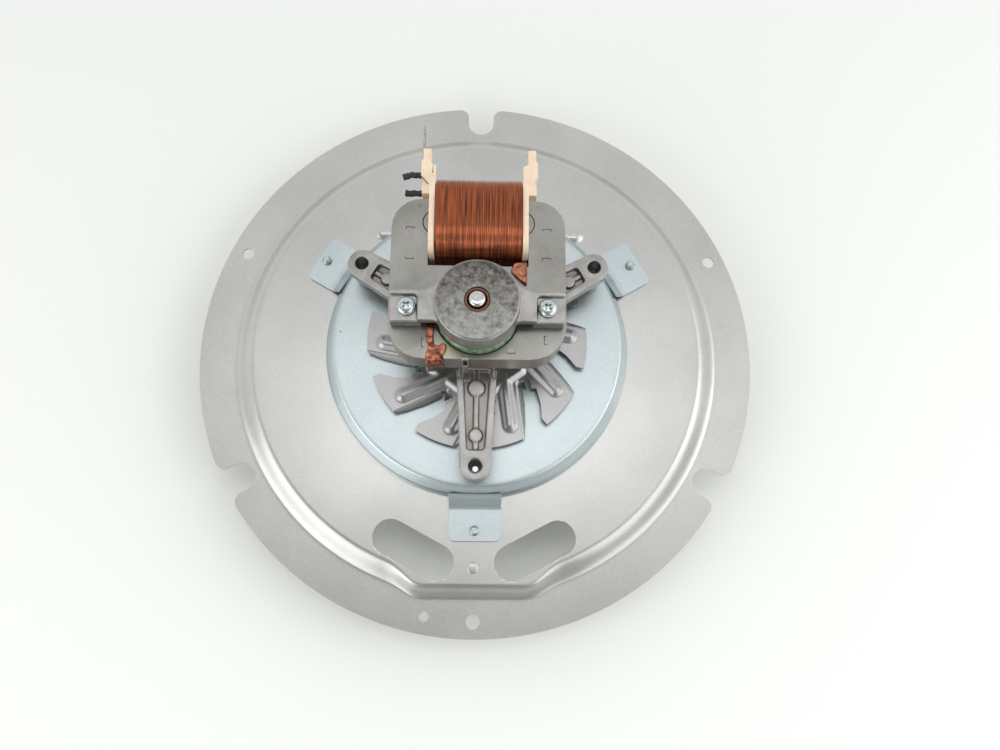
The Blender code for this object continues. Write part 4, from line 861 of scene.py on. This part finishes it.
def makeStator():
    for node, name in (("stator_stack", "statorStack"), ("coil_core", "coilCore")):
        item = cadCopy(name, node)
        roundEdges(item, stator["edge"] if node == "stator_stack" else stator["coreEdge"], 50)
        if node == "stator_stack":
            low, high = stator["top"] - stator["deep"], stator["top"] + 0.001
            half, deep, line = stator["markLength"] / 2, stator["markWidth"] / 2, stator["line"]
            trench = ((-half, -deep), (-half, deep), (half, deep), (half, -deep * 0.3),
                      (half - line, -deep * 0.3), (half - line, deep - line), (line - half, deep - line),
                      (line - half, -deep))
            marks = []
            for x, y, degrees in stator["marks"]:
                turning = Matrix.Rotation(math.radians(degrees), 2)
                points = [turning @ Vector(point) + Vector((x, y)) for point in trench]
                marks.append(prismOf(points, low, high))
            booleanWith(item, meshObject("markCutter", merged(*marks)))
            pin = stator["pinRadius"]
            hollow = [(0, -0.0001), (pin * 0.45, -0.0002), (pin * 0.72, -0.0006), (pin, 0.0), (pin, 0.001),
                      (0, 0.001)]
            dimples = [moveTo(spun(hollow, 24), x, y, stator["top"]) for x, y in stator["pins"]]
            booleanWith(item, meshObject("pinCutter", merged(*dimples)))
        finish(smoothShading(item, 40), laminations, "frame", node, slot="lamination_steel")


makeStator()
print("stator made")


coil = {
    "halfLength": 0.0172, "turns": 82, "pointsPerTurn": 5, "centreY": 0.0395, "centreZ": 0.06915,
    "halfAcross": 0.01715, "halfUp": 0.01615, "corner": 0.0072, "bulge": 0.00016, "wander": 0.00014,
    "inset": 0.00016, "sideWander": 0.00007, "crown": 0.0023, "crownRise": 0.010,
}


def makeWinding():
    across, up, corner = coil["halfAcross"], coil["halfUp"], coil["corner"]
    centre = Vector((0, coil["centreY"], coil["centreZ"]))
    steps = coil["turns"] * (coil["pointsPerTurn"] - 1)
    shape = bmesh.new()
    start = Vector((0, -(across - corner), up)) + centre
    dots = [shape.verts.new((-coil["halfLength"] + 2 * coil["halfLength"] * step / steps, start.y, start.z))
            for step in range(steps + 1)]
    edges = [shape.edges.new(pair) for pair in zip(dots, dots[1:])]
    flat, tall = across - corner, up - corner
    straights = ((0, 2 * flat, 0), (0, 0, -2 * tall), (0, -2 * flat, 0), (0, 0, 2 * tall))
    for run, pivot in zip(straights, ((flat, tall), (flat, -tall), (-flat, -tall), (-flat, tall))):
        for part in range(5):
            dots, edges = drawOut(shape, edges, Vector(run) / 5)
        swept = bmesh.ops.spin(shape, geom=dots + edges, cent=centre + Vector((0, *pivot)), axis=(-1, 0, 0),
                               dvec=(0, 0, 0), angle=math.pi / 2, steps=8, use_merge=False,
                               use_duplicate=False)
        dots = ofKind(swept["geom_last"], bmesh.types.BMVert)
        edges = ofKind(swept["geom_last"], bmesh.types.BMEdge)
    bmesh.ops.remove_doubles(shape, verts=shape.verts, dist=2e-6)
    for dot in shape.verts:  # each turn is a round wire that wanders a little from its neighbours
        place = (dot.co.x + coil["halfLength"]) / (2 * coil["halfLength"]) * coil["turns"]
        turn = math.floor(min(place, coil["turns"] - 0.001))
        within = place - turn
        outward = dot.co - centre
        outward.x = 0
        outward.normalize()
        angle = math.atan2(outward.z, outward.y)
        crest = math.sqrt(max(0.0, 1 - (2 * within - 1) ** 2))
        loose = noise.noise(Vector((turn * 7.31, math.cos(angle) * 1.2, math.sin(angle) * 1.2)))
        layer = noise.noise(Vector((turn * 0.33, math.cos(angle) * 0.8 + 9, math.sin(angle) * 0.8)))
        grow = coil["bulge"] * (crest - 1) + coil["wander"] * (0.55 * loose + 0.75 * layer) - coil["inset"]
        if 0 < place < coil["turns"]:
            dot.co.x += coil["sideWander"] * noise.noise(Vector((turn * 3.7, angle * 1.5, 4.0)))
        away = (dot.co.y - coil["centreY"]) / coil["halfAcross"]
        dot.co += outward * grow
        if dot.co.z > coil["centreZ"]:  # the top of the coil is a little crowned
            share = smoothStep((dot.co.z - coil["centreZ"]) / coil["crownRise"])
            dot.co.z -= coil["crown"] * away * away * share
    for side in (-1, 1):
        rim = [edge for edge in shape.edges if edge.is_boundary and edge.verts[0].co.x * side > 0]
        bmesh.ops.contextual_create(shape, geom=rim)
    bmesh.ops.recalc_face_normals(shape, faces=shape.faces)
    item = meshObject("winding", shape)
    item.data.shade_smooth()
    item.data.set_sharp_from_angle(angle=math.radians(80))
    finish(item, enamelledCopper, "frame", "winding", slot="enamelled_copper")


makeWinding()
print("winding made")


leads = {
    "bobbinEdge": 0.00030, "bladeEdge": 0.00018,
    "radius": 0.00125, "wireRadius": 0.0002, "lump": 0.00035, "bladeShift": 0.0009,
    "earDrop": 0.0012, "earStart": 0.058, "earReach": 0.008,
    "upper": ((-0.0236, 0.0614, 0.0715), (-0.0262, 0.0618, 0.0716), (-0.0282, 0.0618, 0.0716),
              (-0.0300, 0.0611, 0.0715), (-0.0318, 0.0606, 0.0713)),
    "lower": ((-0.0238, 0.0532, 0.0715), (-0.0256, 0.0534, 0.0715), (-0.0275, 0.0535, 0.0715),
              (-0.0291, 0.0531, 0.0715), (-0.0305, 0.0533, 0.0715)),
    "wire": ((-0.0245, 0.0606, 0.0737), (-0.0236, 0.0592, 0.0748), (-0.0224, 0.0575, 0.0752),
             (-0.0210, 0.0560, 0.0750)),
    "varnishDrop": (0.0189, 0.0553, 0.0768), "dropRadius": 0.0006,
    "slit": ((-0.0195, 0.0613, 0.0700), (-0.0191, 0.0660, 0.0790)),
}


def tubeAlong(points, radius, sides=14):  # a round tube through points, as a mesh
    curve = bpy.data.curves.new("route", "CURVE")
    curve.dimensions = "3D"
    curve.bevel_depth = radius
    curve.bevel_resolution = sides // 4
    curve.resolution_u = 6
    curve.use_fill_caps = True
    line = curve.splines.new("NURBS")
    line.points.add(len(points) - 1)
    for dot, place in zip(line.points, points):
        dot.co = (*place, 1)
    line.use_endpoint_u = True
    line.order_u = 3
    route = bpy.data.objects.new("route", curve)
    bpy.context.scene.collection.objects.link(route)
    graph = bpy.context.evaluated_depsgraph_get()
    mesh = bpy.data.meshes.new_from_object(route.evaluated_get(graph))
    bpy.data.objects.remove(route, do_unlink=True)
    shape = bmesh.new()
    shape.from_mesh(mesh)
    bmesh.ops.remove_doubles(shape, verts=shape.verts, dist=1e-6)
    bmesh.ops.recalc_face_normals(shape, faces=shape.faces)
    return shape


def makeBobbinAndLeads():
    item = cadCopy("bobbinBody", "bobbin")
    for dot in item.data.vertices:  # the ears' ends stand a little lower
        share = (dot.co.y - leads["earStart"]) / leads["earReach"]
        dot.co.y -= leads["earDrop"] * min(1.0, max(0.0, share))
    booleanWith(item, meshObject("slitCutter", boxOf(leads["slit"])))
    roundEdges(item, leads["bobbinEdge"], 40)
    finish(smoothShading(item, 40), mouldedNylon, "frame", "bobbin", slot="bobbin_plastic")
    blade = cadCopy("terminalBlade", "spade_terminal")
    for dot in blade.data.vertices:
        dot.co.x += leads["bladeShift"]
    roundEdges(blade, leads["bladeEdge"], 40)
    finish(smoothShading(blade, 40), tinnedBrass, "frame", "spade_terminal", slot="tinned_brass")
    for name, node in (("upper", "lead_sleeve_upper"), ("lower", "lead_sleeve_lower")):
        tube = tubeAlong(leads[name], leads["radius"])
        bmesh.ops.subdivide_edges(tube, edges=tube.edges, cuts=1, use_grid_fill=True)
        for dot in tube.verts:  # the braid is a little lumpy
            lump = noise.noise(Vector((dot.co.x * 900, dot.co.y * 300, dot.co.z * 300)))
            dot.co += Vector((0, lump, noise.noise(dot.co * 700))) * leads["lump"]
        piece = meshObject(name + "Sleeve", tube)
        piece.data.shade_smooth()
        finish(piece, blackSleeving, "frame", node, slot="black_sleeving")
    wire = meshObject("leadWire", tubeAlong(leads["wire"], leads["wireRadius"], 8))
    wire.data.shade_smooth()
    finish(wire, leadEnamel, "frame", slot="enamelled_copper")
    drop = bmesh.new()
    bmesh.ops.create_uvsphere(drop, u_segments=24, v_segments=12, radius=leads["dropRadius"])
    bmesh.ops.scale(drop, verts=drop.verts, vec=(1.2, 1.0, 0.6))
    bead = meshObject("varnishDrop", moveTo(drop, *leads["varnishDrop"]))
    bead.data.shade_smooth()
    finish(bead, amberVarnish, "frame", slot="bobbin_plastic")


makeBobbinAndLeads()
print("bobbin and leads made")


crimps = {  # the strap's ends, hammered together: outlines in plan, seen from above
    "low": 0.0756, "thin": 0.0002, "thick": 0.0016, "edge": 0.00045, "strapEdge": 0.00035,
    "left": ((-0.0197, -0.0098), (-0.0168, -0.0098), (-0.0165, -0.0131), (-0.0150, -0.0136),
             (-0.0131, -0.0126), (-0.0116, -0.0134), (-0.0119, -0.0152), (-0.0129, -0.0172),
             (-0.0127, -0.0200), (-0.0125, -0.0220), (-0.0131, -0.0234), (-0.0148, -0.0236),
             (-0.0154, -0.0222), (-0.0160, -0.0222), (-0.0166, -0.0235), (-0.0183, -0.0232),
             (-0.0189, -0.0211), (-0.0198, -0.0188), (-0.0195, -0.0168), (-0.0188, -0.0143)),
    "right": ((0.0133, 0.0170), (0.0131, 0.0181), (0.0142, 0.0207), (0.0152, 0.0213), (0.0192, 0.0213),
              (0.0194, 0.0206), (0.0194, 0.0119), (0.0183, 0.0124), (0.0162, 0.0141)),
    "fold": -0.0195, "foldReach": 0.0017, "hang": 3.0,  # the left one is bent down over the iron's front
    "leftCut": ((-0.0260, -0.0280, 0.0660), (-0.0060, -0.0118, 0.0800)),
    "rightCut": ((0.0080, 0.0100, 0.0756), (0.0240, 0.0235, 0.0800)),
    "hammerMm": 2.9, "hammer": 0.00050, "longest": 0.00055,
}


def crimpShape(side):
    shape = prismOf(crimps[side], 0.0, 1.0)
    for dot in shape.verts:
        dot.co.z = crimps["thin"] + crimps["thick"] * dot.co.z
    rim = [edge for edge in shape.edges if min(dot.co.z for dot in edge.verts) > crimps["thick"] * 0.9]
    bmesh.ops.bevel(shape, geom=rim, offset=crimps["edge"], segments=3, profile=0.5, affect="EDGES",
                    material=-1, clamp_overlap=True)
    bmesh.ops.triangulate(shape, faces=shape.faces)
    for _ in range(5):  # short edges everywhere, so that the hammer marks have points to move
        coarse = [edge for edge in shape.edges if edge.calc_length() > crimps["longest"]]
        if coarse:
            bmesh.ops.subdivide_edges(shape, edges=coarse, cuts=1)
            bmesh.ops.triangulate(shape, faces=shape.faces)
    bmesh.ops.smooth_vert(shape, verts=shape.verts, factor=0.4, use_axis_x=True, use_axis_y=True,
                          use_axis_z=True)
    for dot in shape.verts:
        share = (dot.co.z - crimps["thin"]) / crimps["thick"]
        mark = noise.noise(dot.co * (1000 / crimps["hammerMm"]) + Vector((2.3, 0.7, 0)))
        dot.co.z += crimps["hammer"] * mark * share
        past = crimps["fold"] - dot.co.y
        if side == "left" and past > 0:
            reach = dot.co.z
            angle = math.radians(90) * min(1.0, past / crimps["foldReach"])
            dot.co.y = crimps["fold"] - reach * math.sin(angle)
            dot.co.z = reach * math.cos(angle) - crimps["hang"] * max(0.0, past - crimps["foldReach"])
        dot.co.z += crimps["low"]
    return shape


def makeShadingRings():
    for side, node in (("left", "shading_ring_left"), ("right", "shading_ring_right")):
        item = cadCopy(side + "ShadingRing", node)
        booleanWith(item, meshObject("crimpCutter", boxOf(crimps[side + "Cut"])))
        roundEdges(item, crimps["strapEdge"], 35)
        whole = merged(takeShape(item), crimpShape(side))
        bmesh.ops.recalc_face_normals(whole, faces=whole.faces)
        ring = meshObject(side + "ShadingStrap", whole)
        finish(smoothShading(ring, 60), strapCopper, "frame", node, slot="bare_copper")


makeShadingRings()
print("shading rings made")


screws = {
    "headRadius": 0.0037, "headHeight": 0.0023, "recess": 0.0016, "shank": 0.0021, "pitch": 0.0011,
    "bracket": ((-0.0271, "bracket_screw_left"), (0.0271, "bracket_screw_right")),
    "bracketZ": 0.0825, "bracketReach": 0.0264,
    "discZ": 0.0279, "discReach": 0.0047, "motorZ": 0.0363, "motorReach": 0.0105,
}


def screwShape(reach):
    head, tall, shank = screws["headRadius"], screws["headHeight"], screws["shank"]
    profile = [(0, tall), (head * 0.35, tall * 0.985), (head * 0.62, tall * 0.92), (head * 0.82, tall * 0.77),
               (head * 0.94, tall * 0.55), (head, tall * 0.30), (head, tall * 0.10), (head * 0.96, 0),
               (shank, 0)]
    z = -0.0004
    while z > -reach + 0.0012:  # thread crests and roots
        profile += [(shank * 0.76, z), (shank, z - screws["pitch"] * 0.5)]
        z -= screws["pitch"]
    profile += [(shank * 0.78, -reach + 0.0006), (shank * 0.55, -reach), (0, -reach)]
    item = meshObject("screwForm", spun(profile, 40))
    for degrees in (45, 135):
        turning = Matrix.Rotation(math.radians(degrees), 3, "Z")
        arm = bmesh.new()
        bmesh.ops.create_cube(arm, size=1)
        bmesh.ops.scale(arm, verts=arm.verts, vec=(head * 1.32, head * 0.34, screws["recess"] * 2))
        for dot in arm.verts:
            if dot.co.z < 0:
                dot.co.x *= 0.35
                dot.co.y *= 0.6
        bmesh.ops.rotate(arm, verts=arm.verts, cent=(0, 0, 0), matrix=turning)
        bmesh.ops.translate(arm, verts=arm.verts, vec=(0, 0, tall + degrees * 1e-8))
        booleanWith(item, meshObject("recessCutter", arm))
    return takeShape(item)


def makeScrews():
    wanted = []
    for x, node in screws["bracket"]:
        name = node.replace("bracket_screw_", "") + "BracketScrew"
        wanted.append((name, node, screws["bracketReach"], (x, 0, screws["bracketZ"]), False))
    for number, angle in enumerate(disc["tabAngles"], 1):
        for kind, away in (("disc", disc["screwAt"][angle]), ("motor", disc["bossAt"])):
            place = (*polar(away, angle), screws[kind + "Z"])
            name, node = "%sScrew%d" % (kind, number), "%s_screw_%d" % (kind, number)
            wanted.append((name, node, screws[kind + "Reach"], place, True))
    for name, node, reach, place, flip in wanted:
        piece = meshObject(name, moveTo(screwShape(reach), *place, flip))
        finish(smoothShading(piece, 45), zincScrew, "frame", node, slot="bright_steel")


makeScrews()
print("screws made")


spindle = {
    "top": 0.0932, "radius": 0.0033, "shoulder": 0.0231, "thread": 0.0025, "end": 0.0101,
    "ballRadius": 0.0065, "gap": 0.0003, "lacquer": 0.0005,
    "rotorRadius": 0.0163, "rotorTop": 0.0773, "rotorBottom": 0.0610,
    "stackTop": 0.0755, "stackBottom": 0.0628, "rotorEdge": 0.0006, "threadPitch": 0.0008,
}


def makeSpindle():
    radius, top = spindle["radius"], spindle["top"]
    profile = [(0, top)]
    for step in range(1, 9):
        angle = math.radians(90 - step * 11.25)
        profile.append((radius * 0.62 + radius * 0.38 * math.cos(angle),
                        top - radius * 0.42 + radius * 0.42 * math.sin(angle)))
    profile.insert(1, (radius * 0.4, top - 0.00002))
    profile += [(radius, spindle["shoulder"]), (spindle["thread"], spindle["shoulder"])]
    z = spindle["shoulder"] - 0.0006
    while z > spindle["end"] + 0.0012:  # the thread that holds the hot air wheel
        profile += [(spindle["thread"] * 0.86, z), (spindle["thread"], z - spindle["threadPitch"] / 2)]
        z -= spindle["threadPitch"]
    profile += [(spindle["thread"] * 0.8, spindle["end"]), (0, spindle["end"])]
    item = meshObject("shaftBody", spun(profile, 64))
    finish(smoothShading(item, 35), groundSteel, "turning", "shaft", slot="bright_steel")
    bore = radius + spindle["gap"]
    for name, node in (("upperBall", "upper_bearing"), ("lowerBall", "lower_bearing")):
        low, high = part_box(node)
        middle, half = (low[2] + high[2]) / 2, (high[2] - low[2]) / 2
        profile = [(bore, middle + half - 0.0003), (bore + 0.0003, middle + half)]
        for step in range(-6, 7):
            z = -step / 6 * half
            profile.append((math.sqrt(spindle["ballRadius"] ** 2 - z ** 2), middle + z))
        profile += [(bore + 0.0003, middle - half), (bore, middle - half + 0.0003)]
        ball = meshObject(name, spun(profile, 56, closed=True))
        finish(smoothShading(ball, 45), sinteredBronze, "frame", node, slot="bronze")
    wide, top, bottom = spindle["rotorRadius"], spindle["rotorTop"], spindle["rotorBottom"]
    cap, stackTop, stackBottom = wide - spindle["lacquer"], spindle["stackTop"], spindle["stackBottom"]
    edge = spindle["rotorEdge"]
    profile = [(bore, top), (cap - edge, top), (cap, top - edge), (cap, stackTop), (wide - 0.0001, stackTop),
               (wide, stackTop - 0.0002), (wide, stackBottom + 0.0002), (wide - 0.0001, stackBottom),
               (cap, stackBottom), (cap, bottom + edge), (cap - edge, bottom), (bore, bottom)]
    rotor = meshObject("rotorBody", spun(profile, 96, closed=True))
    finish(smoothShading(rotor, 40), greenLacquer, "turning", "rotor", slot="green_lacquer")


makeSpindle()
print("shaft, bearings and rotor made")


wheelParts = (  # node, name, how far its edges are rounded, material, slot
    ("impeller", "hotAirWheel", 0.00018, galvanised, "galvanised_sheet"),
    ("impeller_nut", "wheelNut", 0.00030, turnedSteel, "bright_steel"),
    ("impeller_washer", "wheelWasher", 0.00015, turnedSteel, "bright_steel"),
    ("fan_bush", "fanBush", 0.00020, turnedSteel, "bright_steel"),
)


def makeImpeller():
    for node, name, width, material, slot in wheelParts:
        item = cadCopy(name, node)
        roundEdges(item, width, 50)
        finish(smoothShading(item, 40), material, "turning", node, slot=slot)


makeImpeller()

carried = {  # CAD nodes that keep their own mesh
    oiledFelt: ("upper_felt", "lower_felt"),
    turnedSteel: ("upper_retainer", "lower_retainer", "upper_collar", "lower_collar", "fan_clip"),
}
for material, names in carried.items():
    for name in names:
        for place in nodes[name].material_slots:
            place.material = material
print("hot air wheel and inner parts dressed")


studio = {
    "floor": "#f8faf7", "floorHalf": 3.0, "floorGap": 0.0002,
    # the sky's level by height, behind the object and in front of it
    "back": ((0.0, 1.12), (0.55, 0.94), (0.76, 0.93), (0.90, 0.90), (0.97, 0.88), (1.0, 0.80)),
    "front": ((0.0, 0.60), (0.45, 0.38), (0.90, 0.34), (0.985, 0.42), (1.0, 0.46)),
    "turn": (-0.15, 0.04),  # where along Y the front gives way to the back
    "level": 0.91, "aim": (0, 0, 0.03),
    "lamps": (  # name, place, size, watts
        ("ceiling light", (0.0, 0.205, 1.33), (0.80, 0.20), 1.25),
        ("left window", (-0.80, -0.56, 0.48), (1.0, 0.80), 4.4),
        ("right window", (0.74, -0.34, 0.62), (1.05, 0.80), 3.6),
        ("right panel", (1.10, 0.20, 0.90), (0.80, 0.80), 1.2),
    ),
}


def makeStudio():
    made, tree, shader, place = newMaterial("pale table")
    connect(tree, shader, Base_Color=srgb(studio["floor"]), Roughness=0.75, Specular_IOR_Level=0.2)
    shape = bmesh.new()
    bmesh.ops.create_grid(shape, x_segments=1, y_segments=1, size=studio["floorHalf"])
    bmesh.ops.translate(shape, verts=shape.verts, vec=(0, 0, -studio["floorGap"]))
    floor = meshObject("table", shape)
    floor.data.materials.append(made)

    world = bpy.data.worlds.new("studio")
    bpy.context.scene.world = world
    world.use_nodes = True
    tree = world.node_tree
    direction = addNode(tree, "TexCoord").outputs["Generated"]
    split = addNode(tree, "SeparateXYZ", Vector=direction)
    ramps = []
    for key in ("front", "back"):
        ramp = addNode(tree, "ValToRGB", Fac=split.outputs[2])
        for index, (place, level) in enumerate(studio[key]):
            if index < 2:
                stop = ramp.color_ramp.elements[index]
                stop.position = place
            else:
                stop = ramp.color_ramp.elements.new(place)
            stop.color = (level, level, level, 1)
        ramps.append(ramp.outputs[0])
    share = addNode(tree, "MapRange", {"interpolation_type": "SMOOTHSTEP"}, Value=split.outputs[1],
                    From_Min=studio["turn"][0], From_Max=studio["turn"][1])
    connect(tree, tree.nodes["Background"], Color=mixOf(tree, share.outputs[0], *ramps),
            Strength=studio["level"])

    for name, place, size, watts in studio["lamps"]:
        data = bpy.data.lights.new(name, "AREA")
        data.shape = "RECTANGLE"
        data.size, data.size_y = size
        data.energy = watts
        item = bpy.data.objects.new(name, data)
        item.location = place
        item.rotation_euler = (Vector(studio["aim"]) - Vector(place)).to_track_quat("-Z", "Y").to_euler()
        bpy.context.scene.collection.objects.link(item)


makeStudio()
bpy.context.scene.view_settings.view_transform = "Standard"
print("studio set")
